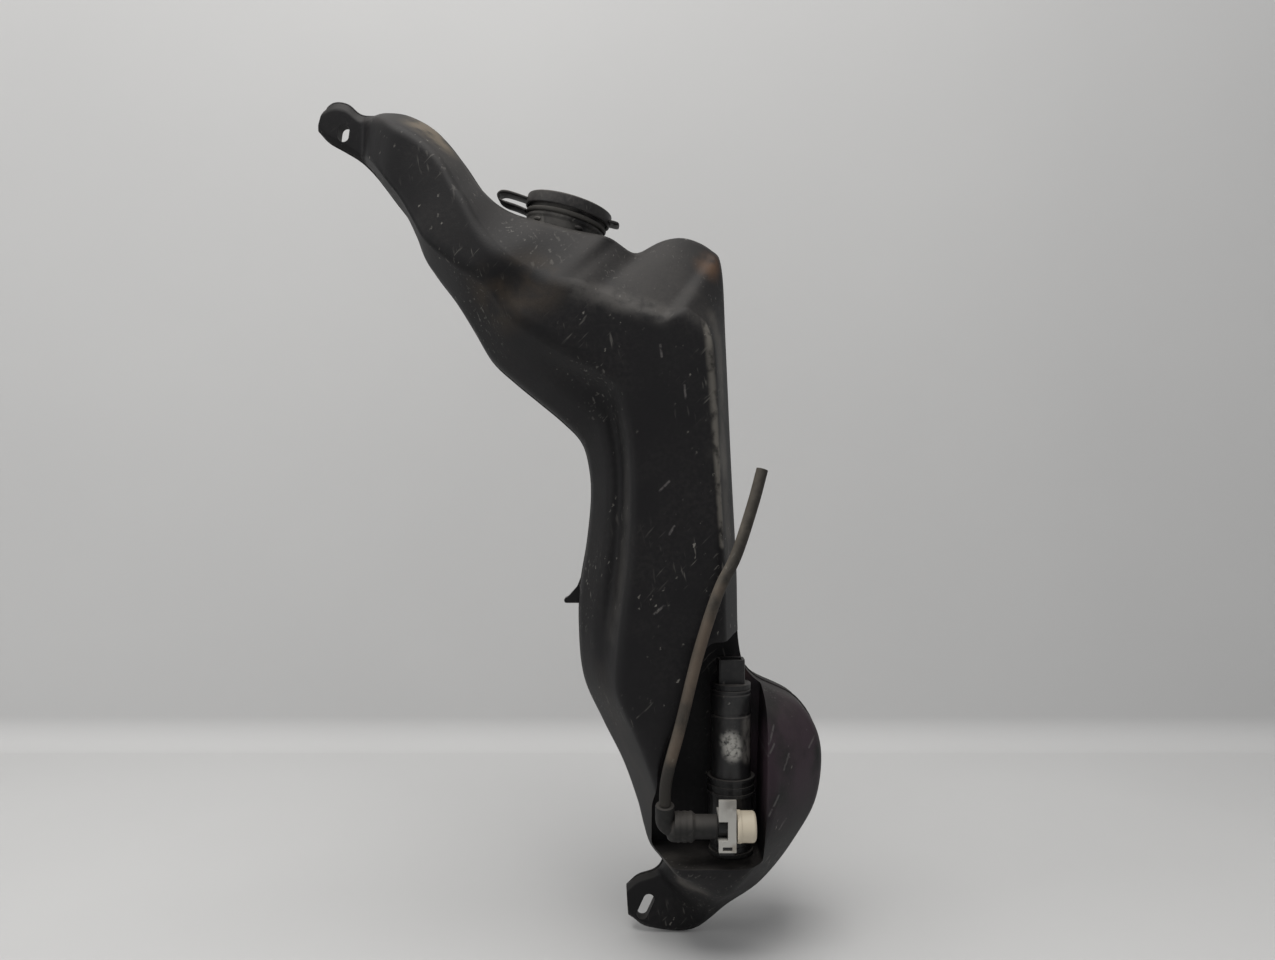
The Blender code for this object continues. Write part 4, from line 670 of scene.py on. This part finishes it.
@dataclass
class TankShell:
    """The blow-moulded tank as a loft of stations, hollowed and cut as the solid is."""

    softness: float = 0.0055
    back_bevel: float = 0.016
    step_level: float = 0.60
    shelf_points: tuple[Pair, Pair] = ((0.36, 0.12), (0.72, 0.04))
    wall: float = 0.003
    parting_corners: tuple[int, int] = (0, 7)
    cavity_span: Pair = (5.0, 26.4)
    dent_centre: Pair = (-0.0870, 0.3610)
    dent_size: Pair = (0.026, 0.015)
    dent_lean: float = math.radians(28)
    dent_depth: float = 0.0045
    valley: tuple[Pair, ...] = ((-0.0270, 0.0320), (-0.0270, -0.0060), (-0.0130, -0.0470))
    valley_depth: float = 0.0068
    valley_width: float = 0.0105
    saddle_span: Pair = (9.5, 16.0)
    saddle_fade: float = 1.5
    slot_radius: float = 0.0033
    slot_span: Pair = (-0.02, 0.01)
    neck_radius: float = 0.0225
    bead_radius: float = 0.0232
    neck_span: Pair = (-0.018, 0.0162)
    neck_bore: float = 0.020
    nub_size: Point = (0.0013, 0.0026, 0.0013)
    nub_level: float = 0.0042
    pocket_depth: float = 0.0415
    pocket_corner: float = 0.003
    pocket_lip: float = 0.0022
    cutter_reach: float = 0.03
    grommet_hole: float = 0.0095
    hook_span: Pair = (-0.0076, -0.0004)
    seam_radius: float = 0.0008
    seam_gap: float = 0.0245
    seam_steps: int = 3
    seam_rows: int = 6
    rows_per_station: int = 8
    corner_steps: int = 9
    pocket_mm: tuple[Pair, ...] = (
        (-45, 0), (-45, 30), (-41, 53), (-36, 71), (-27, 86), (-20.5, 112), (-14, 122), (27, 127), (19, 101),
        (17.5, 66), (16.5, 30), (16, 0),
    )
    hook_mm: tuple[Pair, ...] = (
        (-44, 218), (-50.5, 203), (-54.5, 193), (-60, 186.8), (-62.2, 186), (-61.8, 183.5), (-44, 183.5),
    )
    spare: list[Piece] = field(default_factory=list)

    @staticmethod
    def places(rows: int) -> Array:
        """Even places along the stations, with some rows from each to the next."""
        return np.linspace(0, len(STATIONS) - 1, rows * (len(STATIONS) - 1) + 1)

    def rings(self, at: Array, corner_steps: int) -> Array:
        """Points round the tank: each ring is a rounded polygon in the plane through its left and right edge.

        The polygon runs up the left wall, over the left bevel with its shelf, across the front, down the right
        bevel and wall, and back over the rear bevels. Each corner becomes a small parabola, but the two parting
        points stay on their straight walls. A shallow dent of depth exp(-(u/a)^2 - (v/b)^2) sinks into the front
        under the neck.

        Args:
            at: places along the stations.
            corner_steps: points per rounded corner.

        Returns:
            rings x points x 3.
        """
        left, right = flowing(STATIONS[:, :2], at), flowing(STATIONS[:, 2:4], at)
        swell, cut_l, wall_l, cut_r, wall_r, step = (easing(column, at) for column in STATIONS[:, 4:].T)
        width = np.linalg.norm(right - left, axis=1)
        front = EAR_HALF + swell * (FRONT_DEPTH - EAR_HALF)
        back = EAR_HALF + swell * (BACK_DEPTH - EAR_HALF)
        bevel = np.minimum(self.back_bevel, 0.6 * back)
        low, high = wall_l * front, wall_r * front
        none = np.zeros_like(width)
        shelf = front * self.step_level
        across, depth = [none, none], [none, low]
        for share, shift in self.shelf_points:
            plain = low + (front - low) * share
            across.append(cut_l * (share + shift * step))
            depth.append(plain + (shelf - plain) * step)
        across += [cut_l, width - cut_r, width, width, width, width - bevel, bevel, none]
        depth += [front, front, high, none, -back / 2, -back, -back, -back / 2]
        control = np.stack([np.stack(across, axis=1), np.stack(depth, axis=1)], axis=2)
        curve = corner_curves(control, np.minimum(self.softness, 0.4 * front)[:, None, None], corner_steps)
        flat = np.concatenate([
            control[:, k : k + 1] if k in self.parting_corners else curve[:, k] for k in range(control.shape[1])
        ], axis=1)
        along = (right - left) / width[:, None]
        xz = left[:, None, :] + along[:, None, :] * flat[:, :, :1]
        off = xz - self.dent_centre
        lie = np.array([math.cos(self.dent_lean), math.sin(self.dent_lean)])
        long, short = self.dent_size
        far = (off @ lie / long) ** 2 + (off @ np.array([-lie[1], lie[0]]) / short) ** 2
        front_only = np.clip(flat[..., 1] / 0.03 - 0.6, 0, 1)
        hollow = self.dent_depth * np.exp(-far) * front_only
        points = np.stack([xz[..., 0], PARTING_Y - flat[..., 1] + hollow, xz[..., 1]], axis=2)
        first, last = self.saddle_span
        rows = np.clip((at - first) / self.saddle_fade, 0, 1) * np.clip((last - at) / self.saddle_fade, 0, 1)
        right_half = np.clip(flat[..., 0] / width[:, None] * 2.4 - 0.9, 0, 1)
        points[..., 2] -= self.scoop(points) * rows[:, None] * right_half
        return points

    def scoop(self, points: Array) -> Array:
        """How far the saddle beside the neck sinks: depth exp(-(d/w)^2), with d the plan distance to its valley.

        Args:
            points: points of the shell.

        Returns:
            A depth for each point.
        """
        plan = points[..., :2]
        depth = np.zeros(plan.shape[:-1])
        for a, b in zip(self.valley, self.valley[1:]):
            line = np.subtract(b, a)
            share = np.clip((plan - a) @ line / (line @ line), 0, 1)
            gap = np.linalg.norm(plan - a - share[..., None] * line, axis=-1)
            depth = np.maximum(depth, self.valley_depth * np.exp(-((gap / self.valley_width) ** 2)))
        return depth

    def inset(self, rings: Array) -> Array:
        """Moves rings inwards by the wall: p - wall n, with n from the grid's own slopes.

        Args:
            rings: rings x points x 3.

        Returns:
            The moved rings.
        """
        normal = unit(np.cross(np.gradient(rings, axis=0), np.roll(rings, -1, axis=1) - np.roll(rings, 1, axis=1)))
        outward = np.sum(normal * (rings - rings.mean(axis=1, keepdims=True))) > 0
        return rings - normal * (self.wall if outward else -self.wall)

    def slot(self, centre: Pair, length: float, lean: float) -> Array:
        """A bolt slot through an ear: two half circles joined by straight sides.

        Args:
            centre: its middle in X and Z.
            length: from end to end.
            lean: its turn from upright.

        Returns:
            The slot's cutter, as two rings.
        """
        along = np.array([math.sin(lean), math.cos(lean)])
        side = np.array([along[1], -along[0]])
        angle = np.linspace(0, math.pi, 24)[:, None]
        arc = (side * np.cos(angle) + along * np.sin(angle)) * self.slot_radius
        swing = arc + along * (length / 2 - self.slot_radius)
        return extruded(np.concatenate([swing, -swing]) + centre, *self.slot_span)

    def tool(self, name: str, grid: Array) -> Piece:
        """Makes a hidden piece for a Boolean, which is removed at the end.

        Args:
            name: its name.
            grid: its rings.

        Returns:
            The piece.
        """
        obj = grid_mesh(name, grid)
        obj.hide_render = True
        self.spare.append(obj)
        return obj

    @staticmethod
    def apply(target: Piece, steps: list[tuple[Piece, str]]) -> None:
        """Works out Booleans and keeps the result as the target's mesh.

        Args:
            target: the piece to cut.
            steps: tools and operations in order.
        """
        for other, operation in steps:
            modifier = target.modifiers.new(other.name, "BOOLEAN")
            modifier.operation = operation
            modifier.solver = "EXACT"
            modifier.object = other
        graph = bpy.context.evaluated_depsgraph_get()
        result = bpy.data.meshes.new_from_object(target.evaluated_get(graph))
        target.modifiers.clear()
        target.data = result
        result.shade_smooth()
        result.set_sharp_from_angle(angle=CREASE)

    def neck_profile(self) -> Array:
        """The filled neck with its rest bead and snap bead, with small rounded edges.

        Returns:
            Rows of radius and height.
        """
        r, bead = self.neck_radius, self.bead_radius
        low, high = self.neck_span
        corners = np.array([
            (AXIS, low), (r, low), (r, 0.0059), (bead, 0.0072), (bead, 0.0085), (r, 0.0085), (r, 0.0136),
            (bead, 0.0149), (r, high), (AXIS, high),
        ])
        return rounded(corners, 0.0004, 4, closed=False)

    def nub(self, angle: float) -> Array:
        """A small rounded nub on the neck's side: an ellipsoid set into the wall.

        Args:
            angle: its place round the neck, in radians.

        Returns:
            Its rings in the neck's frame.
        """
        thick, broad, tall = self.nub_size
        high = np.linspace(-1, 1, 15)[:, None]
        wide = np.sqrt(np.clip(1 - high**2, 1e-6, 1))
        turn = turns(24)
        out, side = self.neck_radius + thick * wide * np.cos(turn), broad * wide * np.sin(turn)
        x = out * math.cos(angle) - side * math.sin(angle)
        y = out * math.sin(angle) + side * math.cos(angle)
        return np.stack([x, y, np.broadcast_to(self.nub_level + tall * high, x.shape)], axis=2)

    def build(self) -> None:
        """Lofts the shell and cuts it."""
        shell = grid_mesh("tank_shell", self.rings(self.places(self.rows_per_station), self.corner_steps))
        pocket = rounded(metres(self.pocket_mm) + PUMP_SEAT[[0, 2]], self.pocket_corner, 6)
        floor_y = FRONT_Y + self.pocket_depth
        cavity = self.tool("cavity", self.inset(self.rings(np.linspace(*self.cavity_span, 60), 3)))
        jacket = pocket + self.wall * self.outward(pocket)
        jacket = extruded(jacket, FRONT_Y - self.cutter_reach, floor_y + self.wall)
        self.apply(cavity, [(self.tool("jacket", jacket), "DIFFERENCE")])
        hook = rounded(metres(self.hook_mm), 0.0012, 5)
        bore = revolved(cylinder(self.neck_bore, -0.036, 0.036), 90)
        hole = revolved(cylinder(self.grommet_hole, -0.009, 0.003), 64)
        self.apply(shell, [
            (self.tool("neck", leaning(revolved(self.neck_profile(), 96))), "UNION"),
            (self.tool("nub", leaning(self.nub(math.radians(-62)))), "UNION"),
            (self.tool("nub_left", leaning(self.nub(math.radians(-128)))), "UNION"),
            (self.tool("hook", extruded(hook, *self.hook_span)), "UNION"),
            (self.tool("pocket", self.flared(pocket, floor_y)), "DIFFERENCE"),
            (cavity, "DIFFERENCE"),
            (self.tool("bore", leaning(bore)), "DIFFERENCE"),
            (self.tool("hole", hole + PUMP_SEAT), "DIFFERENCE"),
            (self.tool("upper", self.slot((-0.1935, 0.4635), 0.0105, math.radians(8))), "DIFFERENCE"),
            (self.tool("lower", self.slot((-0.0135, 0.0025), 0.0160, math.radians(25))), "DIFFERENCE"),
        ])
        for obj in self.spare:
            bpy.data.objects.remove(obj)
        self.spare.clear()
        dressed(shell, TANK_PLASTIC, Body.TANK, "tank_body")

    def seams(self) -> None:
        """The mould's parting line: thin beads along both edges, left out where the neck stands on it."""
        rings = self.rings(self.places(self.seam_rows), self.seam_steps)
        left, right = rings[:, 0], rings[:, 1 + (self.parting_corners[1] - 1) * self.seam_steps]
        across = np.array([math.cos(NECK_LEAN), 0.0, -math.sin(NECK_LEAN)])
        free = np.abs((right - NECK_BASE) @ across) > self.seam_gap
        first_gap = int(np.argmin(free))
        second = first_gap + int(np.argmax(free[first_gap:]))
        for name, line in (("seam_left", left), ("seam_upper", right[:first_gap]), ("seam_lower", right[second:])):
            share = np.linspace(0, 1, len(line))
            radius = self.seam_radius * np.clip(np.minimum(share, 1 - share) * 24, 0.15, 1)
            dressed(grid_mesh(name, swept(line, radius, 10), sharp=60), TANK_PLASTIC, Body.TANK)

    def flared(self, outline: Array, floor_y: float) -> Array:
        """The pocket's cutter, grown near the front by r - sqrt(r^2 - t^2) for a round lip.

        Args:
            outline: the pocket in X and Z.
            floor_y: the level of its floor.

        Returns:
            The cutter's rings, from the floor forwards.
        """
        lip = self.pocket_lip
        rise = np.linspace(0, 1, 6)
        grow = np.concatenate([[0.0], lip * (1 - np.sqrt(1 - rise**2)), [lip]])
        rings = outline + self.outward(outline) * grow[:, None, None]
        return extruded(rings, floor_y, *(FRONT_Y + lip * (1 - rise)), FRONT_Y - self.cutter_reach)

    @staticmethod
    def outward(outline: Array) -> Array:
        """Unit normals that point out of a closed outline.

        Args:
            outline: its points.

        Returns:
            A normal for each point.
        """
        side = np.roll(outline, -1, axis=0) - np.roll(outline, 1, axis=0)
        x, z = outline.T
        area = np.sum(x * np.roll(z, -1) - np.roll(x, -1) * z)
        return unit(np.stack([side[:, 1], -side[:, 0]], axis=1)) * np.sign(area)


@dataclass
class FillerCap:
    """Snap lid, collar and the strap between them, which loops round the lid's fold and is thinner there."""

    lid_radius: float = 0.0253
    skirt_inside: float = 0.0239
    skirt_level: float = 0.0135
    lid_top: float = 0.0203
    plate_level: float = 0.0183
    plug_radius: float = 0.0188
    plug_wall: float = 0.0014
    plug_taper: float = 0.0007
    plug_depth: float = 0.007
    tab_half: Pair = (0.0042, 0.0060)
    collar_level: float = 0.0088
    collar_radii: Point = (0.0228, 0.0236, 0.0241)
    fold: Pair = (-0.0418, 0.0150)
    strap_width: float = 0.0120
    strap_thickness: float = 0.0018
    strap_rings: int = 90
    bend_range: float = 0.0018

    def lid(self) -> None:
        """The domed lid: a rounded profile of plate, skirt and plug, turned about the neck's axis."""
        plate, skirt, rim, top = self.plate_level, self.skirt_level, self.lid_radius, self.lid_top
        plug, inside, tip = self.plug_radius, self.plug_radius - self.plug_wall, self.plate_level - self.plug_depth
        corners = np.array([
            (AXIS, plate), (inside, plate), (inside - self.plug_taper, tip), (plug - self.plug_taper, tip),
            (plug, plate), (self.skirt_inside, plate), (self.skirt_inside, skirt), (rim, skirt), (rim, top),
            (rim * 0.90, top + 0.0002), (rim * 0.86, top - 0.0004), (rim * 0.5, top + 0.0006), (AXIS, top + 0.0008),
        ])
        grid = revolved(rounded(corners, 0.0009, 5, closed=False), 144)
        dressed(grid_mesh("lid_shell", leaning(grid)), LID_PLASTIC, Body.LID, "filler_lid")

    def tab(self) -> None:
        """The lift tab: a rounded plate, as a superellipse swept between two levels with soft rims."""
        c, s = np.cos(turns(72)), np.sin(turns(72))
        x = np.sign(c) * np.abs(c) ** 0.5 * self.tab_half[0]
        y = np.sign(s) * np.abs(s) ** 0.5 * self.tab_half[1]
        level = self.skirt_level + 0.0017 + np.array([0.0, 0.0, 0.0003, 0.0015, 0.0018, 0.0018])[:, None]
        share = np.array([0.02, 0.93, 1.0, 1.0, 0.93, 0.02])[:, None]
        grid = np.stack(np.broadcast_arrays(self.lid_radius + 0.0013 + share * x, share * y, level), axis=2)
        dressed(grid_mesh("lid_tab", leaning(grid)), LID_PLASTIC, Body.LID)

    def collar(self) -> None:
        """The collar: a rounded rectangle turned about the neck's axis."""
        low, high = self.collar_level + 0.0004, self.collar_level + 0.0028
        inner, foot, outer = self.collar_radii
        corners = np.array([(inner, low), (foot, low), (outer, low + 0.0009), (outer, high), (inner, high)])
        grid = revolved(rounded(corners, 0.0006, 5), 144)
        piece = grid_mesh("collar_ring", leaning(grid), Edge.JOINED)
        dressed(piece, COLLAR_PLASTIC, Body.TANK, "cap_collar")

    def strap(self) -> None:
        """The strap: a rounded flat section carried along a loop from the collar round the fold to the lid."""
        fx, fz = self.fold
        route = np.array([
            (-0.0240, self.collar_level + 0.0015), (-0.0300, 0.0112), (-0.0365, 0.0117), (fx + 0.0014, 0.0127),
            (fx, fz), (fx + 0.0012, 0.0170), (fx + 0.0042, 0.0179), (-0.0320, 0.0178), (-0.0249, 0.0172),
        ])
        path = smooth_curve(np.stack([route[:, 0], 0 * route[:, 0], route[:, 1]], axis=1), self.strap_rings)
        across = np.cross(unit(np.gradient(path, axis=0)), (0.0, 1.0, 0.0))
        thin = 0.45 + 0.55 * np.clip(np.abs(np.arange(self.strap_rings) - 40) / 12.0, 0, 1)
        half_w, half_t = self.strap_width / 2, self.strap_thickness / 2
        corners = np.array([(-half_w, -half_t), (half_w, -half_t), (half_w, half_t), (-half_w, half_t)])
        section = rounded(corners, 0.0008, 5)
        aside = section[None, :, :1] * (0.0, 1.0, 0.0)
        grid = path[:, None] + aside + across[:, None] * (section[None, :, 1:] * thin[:, None, None])
        piece = grid_mesh("lid_strap", leaning(grid))
        piece.data.materials.append(LID_PLASTIC.material())
        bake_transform(piece)
        LOG.info("lid_strap: %d faces", len(piece.data.polygons))

    def build(self) -> None:
        """Makes every piece of the cap."""
        self.lid()
        self.tab()
        self.collar()
        self.strap()


@dataclass
class PumpDress:
    """Fine skins for the parts of the pump that show: the motor can, the elbow and the blanking cap."""

    can_radius: float = 0.01125
    can_level: float = 0.0200
    can_top: float = 0.0930
    can_wall: float = 0.0012
    shaft_hole: float = 0.0032
    cap_radius: float = 0.00875
    cap_start: float = 0.0007
    cap_length: float = 0.0105
    cap_wall: float = 0.0016
    cap_floor: float = 0.0082

    def can(self) -> None:
        """The can: a turned tube with a rolled rim and two shallow grooves."""
        r, low, high, wall, hole = self.can_radius, self.can_level, self.can_top, self.can_wall, self.shaft_hole
        corners = np.array([
            (hole, low), (r, low), (r, high - 0.0150), (r - 0.0004, high - 0.0145), (r - 0.0004, high - 0.0135),
            (r, high - 0.0130), (r, high - 0.0030), (r - 0.0003, high - 0.0026), (r - 0.0003, high - 0.0018),
            (r, high - 0.0014), (r, high), (r - wall, high), (r - wall, low + wall), (hole, low + wall),
        ])
        grid = revolved(rounded(corners, 0.0006, 4), 112) + PUMP_SEAT
        dressed(grid_mesh("can_skin", grid, Edge.JOINED), CAN_FINISH, Body.TANK, "motor_can")

    def elbow(self) -> None:
        """The elbow: a circle of changing radius along a run, a quarter bend and a leaning arm."""
        bend, reach, mouth = 0.0052, ELBOW_REACH, 0.0097
        run = np.linspace(mouth, reach - bend, 60)
        angle = np.linspace(0, math.pi / 2, 16)[1:]
        rise = np.linspace(bend, ELBOW_ARM_LENGTH, 24)[1:]
        x = np.concatenate([-run, -(reach - bend) - bend * np.sin(angle), np.full(len(rise), -reach)])
        up = np.concatenate([0 * run, bend * (1 - np.cos(angle)), rise])
        path = BARREL + x[:, None] * (1.0, 0.0, 0.0) + up[:, None] * ELBOW_ARM
        stops = [0.0097, 0.0100, 0.0108, 0.0215, 0.0222, 0.0232, 0.0335, 0.0345, 0.0352, 0.0382]
        sizes = [0.0060, 0.0064, 0.0065, 0.0065, 0.0070, 0.0080, 0.0080, 0.0074, 0.0053, 0.0052]
        radius = np.interp(-x, stops, sizes)
        radius = radius * np.where(up > ELBOW_ARM_LENGTH - 0.0006, 0.96, 1.0)
        rib = 0.00025 * (np.sin((-x - 0.0232) / 0.0103 * 6 * math.pi) > 0) * ((-x > 0.0235) & (-x < 0.0332))
        grid = swept(path, radius + rib, 64, (0.0, math.cos(ELBOW_LEAN), math.sin(ELBOW_LEAN)))
        dressed(grid_mesh("elbow_skin", grid), RUBBER, Body.TANK, "outlet_elbow")

    def cap(self) -> None:
        """The cream cap: a turned cup with a rolled lip and a slightly dished end, laid along the outlet barrel."""
        r, low, wall, floor = self.cap_radius, self.cap_start, self.cap_wall, self.cap_floor
        high = low + self.cap_length
        corners = np.array([
            (AXIS, floor), (0.0039, floor), (0.0039, low), (0.0055, low), (0.0055, floor), (r - wall, floor),
            (r - wall, low), (r, low), (r, low + 0.0022), (r - 0.0004, low + 0.0025), (r - 0.0004, high - 0.0012),
            (r - wall, high), (r * 0.55, high - 0.0003), (r * 0.5, high - 0.0008), (AXIS, high - 0.0008),
        ])
        grid = revolved(rounded(corners, 0.0007, 4, closed=False), 112)
        grid = np.stack([grid[..., 2], grid[..., 1], -grid[..., 0]], axis=-1) + BARREL
        dressed(grid_mesh("cap_skin", grid), CAP_NYLON, Body.TANK, "blanking_cap")

    def build(self) -> None:
        """Makes every skin."""
        self.can()
        self.elbow()
        self.cap()


@dataclass
class Hose:
    """The stiff hose from the elbow's arm up across the tank's front to its cut end."""

    diameter: float = HOSE_DIAMETER
    bore: float = 0.0040
    bore_depth: float = 0.030
    rings: int = 120
    sides: int = 40
    route_mm: tuple[Point, ...] = (
        (-3.1, -1.4, 92.5), (-1, -3.5, 104), (2.8, -4.2, 118), (6.2, -4.2, 131), (14.6, -4.4, 165),
        (25, -4.8, 197), (34.5, -4.5, 216.5), (43.4, -2, 242.5), (49.2, 1, 262.5),
    )

    def build(self) -> None:
        """Carries the hose's wall along its route, turns in at the cut end and runs back down the bore.

        It starts just above the elbow arm's rim. The route's Y counts from the tank's front.
        """
        start = BARREL + (-ELBOW_REACH, 0, 0) + ELBOW_ARM * (ELBOW_ARM_LENGTH + CLEARANCE)
        route = metres(self.route_mm) + (0, FRONT_Y, 0)
        path = smooth_curve(np.concatenate([start[None], route]), self.rings)
        length = float(np.sum(np.linalg.norm(np.diff(path, axis=0), axis=1)))
        outer, inner = (swept(path, size / 2, self.sides) for size in (self.diameter, self.bore))
        bored = inner[::-1][: int(self.rings * self.bore_depth / length)]
        piece = grid_mesh("hose_tube", np.concatenate([outer, bored]), sharp=50)
        dressed(piece, HOSE_RUBBER, Body.TANK, "washer_hose")
        LOG.info("hose_tube: %.4f m long", length)


class Lamp(NamedTuple):
    """A soft square lamp: its place, the point it faces, its side in metres, its power in watts and its colour."""

    name: str
    place: Point
    aim: Point
    size: float
    power: float
    colour: Colour


@dataclass
class Studio:
    """Camera, lamps, world, and a pale floor with a wall behind it."""

    eye: Point = (-0.0183, -0.561, 0.2568)
    focal_pixels: float = 928.0
    photo_width: int = 1275
    sensor: float = 36.0
    floor_z: float = -0.0135
    wall_y: float = 0.385
    wall_levels: Pair = (1.0, 3.5)
    cove: float = 0.03
    reach: float = 4.0
    tones: tuple[Colour, Colour] = ((0.52, 0.52, 0.52), (0.57, 0.57, 0.568))
    sky: Colour = (0.80, 0.81, 0.83)
    sky_strength: float = 0.42
    lamps: tuple[Lamp, ...] = (
        Lamp("above", (-0.15, -0.45, 1.7), (-0.05, 0.0, 0.2), 1.1, 23.0, (1.0, 0.985, 0.96)),
        Lamp("left", (-1.5, -0.6, 0.8), (-0.05, 0.0, 0.25), 0.8, 5.4, (1.0, 0.99, 0.97)),
    )

    def camera(self) -> None:
        """A level camera that looks along +Y."""
        data = bpy.data.cameras.new("camera")
        data.sensor_width = self.sensor
        data.lens = self.sensor * self.focal_pixels / self.photo_width
        data.clip_start = 0.01
        obj = placed("camera", data)
        obj.location = self.eye
        obj.rotation_euler = (math.pi / 2, 0, 0)
        bpy.context.scene.camera = obj

    @staticmethod
    def hang(lamp: Lamp) -> None:
        """Makes one lamp, turned to the point it faces."""
        data = bpy.data.lights.new(lamp.name, "AREA")
        data.size = lamp.size
        data.energy = lamp.power
        data.color = lamp.colour
        obj = placed(lamp.name, data)
        ahead = unit(np.subtract(lamp.aim, lamp.place))
        obj.location = lamp.place
        obj.rotation_euler = (math.acos(-ahead[2]), 0.0, math.atan2(ahead[0], -ahead[1]) + math.pi)

    def sweep(self) -> None:
        """Floor and wall in one sheet, with a small cove; seen from behind the wall lets the view through."""
        turn = np.linspace(0, math.pi / 2, 10)
        edge = self.wall_y - self.cove
        y = np.concatenate([np.linspace(-self.reach, edge, 12), edge + self.cove * np.sin(turn), [self.wall_y] * 2])
        bend = self.floor_z + self.cove * (1 - np.cos(turn))
        z = np.concatenate([np.full(12, self.floor_z), bend, self.wall_levels])
        x = np.linspace(-self.reach, self.reach, 8)
        grid = np.stack(np.broadcast_arrays(x, y[:, None], z[:, None]), axis=2)
        index = np.arange(grid[..., 0].size).reshape(grid.shape[:2])
        quads = np.stack([index[:-1, :-1], index[:-1, 1:], index[1:, 1:], index[1:, :-1]], axis=2).reshape(-1, 4)
        mesh = bpy.data.meshes.new("studio_sweep")
        mesh.from_pydata(grid.reshape(-1, 3).tolist(), [], quads.tolist())
        mesh.shade_smooth()
        obj = placed("studio_sweep", mesh)
        material = bpy.data.materials.new("studio_paint")
        material.use_nodes = True
        g = Graph(material.node_tree)
        place = g.add("TexCoord").outputs["Object"]
        tone = g.mixed(g.noise(place, 3.0, 4.0), *((*tone, 1) for tone in self.tones))
        paint = g.feed(g.tree.nodes["Principled BSDF"], Base_Color=tone, Roughness=0.9, Specular_IOR_Level=0.1)
        clear = g.add("BsdfTransparent")
        behind = g.add("NewGeometry").outputs["Backfacing"]
        mix = g.add("MixShader", i0=behind, i1=paint.outputs[0], i2=clear.outputs[0])
        g.feed(g.tree.nodes["Material Output"], Surface=mix.outputs[0])
        mesh.materials.append(material)

    def build(self) -> None:
        """Sets up everything round the object."""
        scene = bpy.context.scene
        scene.view_settings.view_transform = "Standard"
        world = bpy.data.worlds.new("studio")
        world.use_nodes = True
        g = Graph(world.node_tree)
        g.feed(g.tree.nodes["Background"], Color=(*self.sky, 1), Strength=self.sky_strength)
        scene.world = world
        self.camera()
        self.sweep()
        for lamp in self.lamps:
            self.hang(lamp)


def dress_cad_nodes() -> None:
    """Gives every carried-over CAD node its finish, and small rounded edges where they show."""
    for name, finish in CAD_FINISHES.items():
        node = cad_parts[name]
        node.data.materials.clear()
        node.data.materials.append(finish.material())
    for name, width in SOFT_EDGES.items():
        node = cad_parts[name]
        weld = node.modifiers.new("weld", "WELD")
        weld.merge_threshold = 1e-6
        bevel = node.modifiers.new("bevel", "BEVEL")
        bevel.width = width
        bevel.segments = 2
        bevel.limit_method = "ANGLE"
        bevel.angle_limit = math.radians(50)
        bevel.harden_normals = True


def main() -> None:
    """Builds the studio, the hose and every sub-assembly in order."""
    Studio().build()
    Hose().build()
    tank = TankShell()
    tank.build()
    tank.seams()
    FillerCap().build()
    PumpDress().build()
    dress_cad_nodes()


if __name__ == "__main__":
    main()
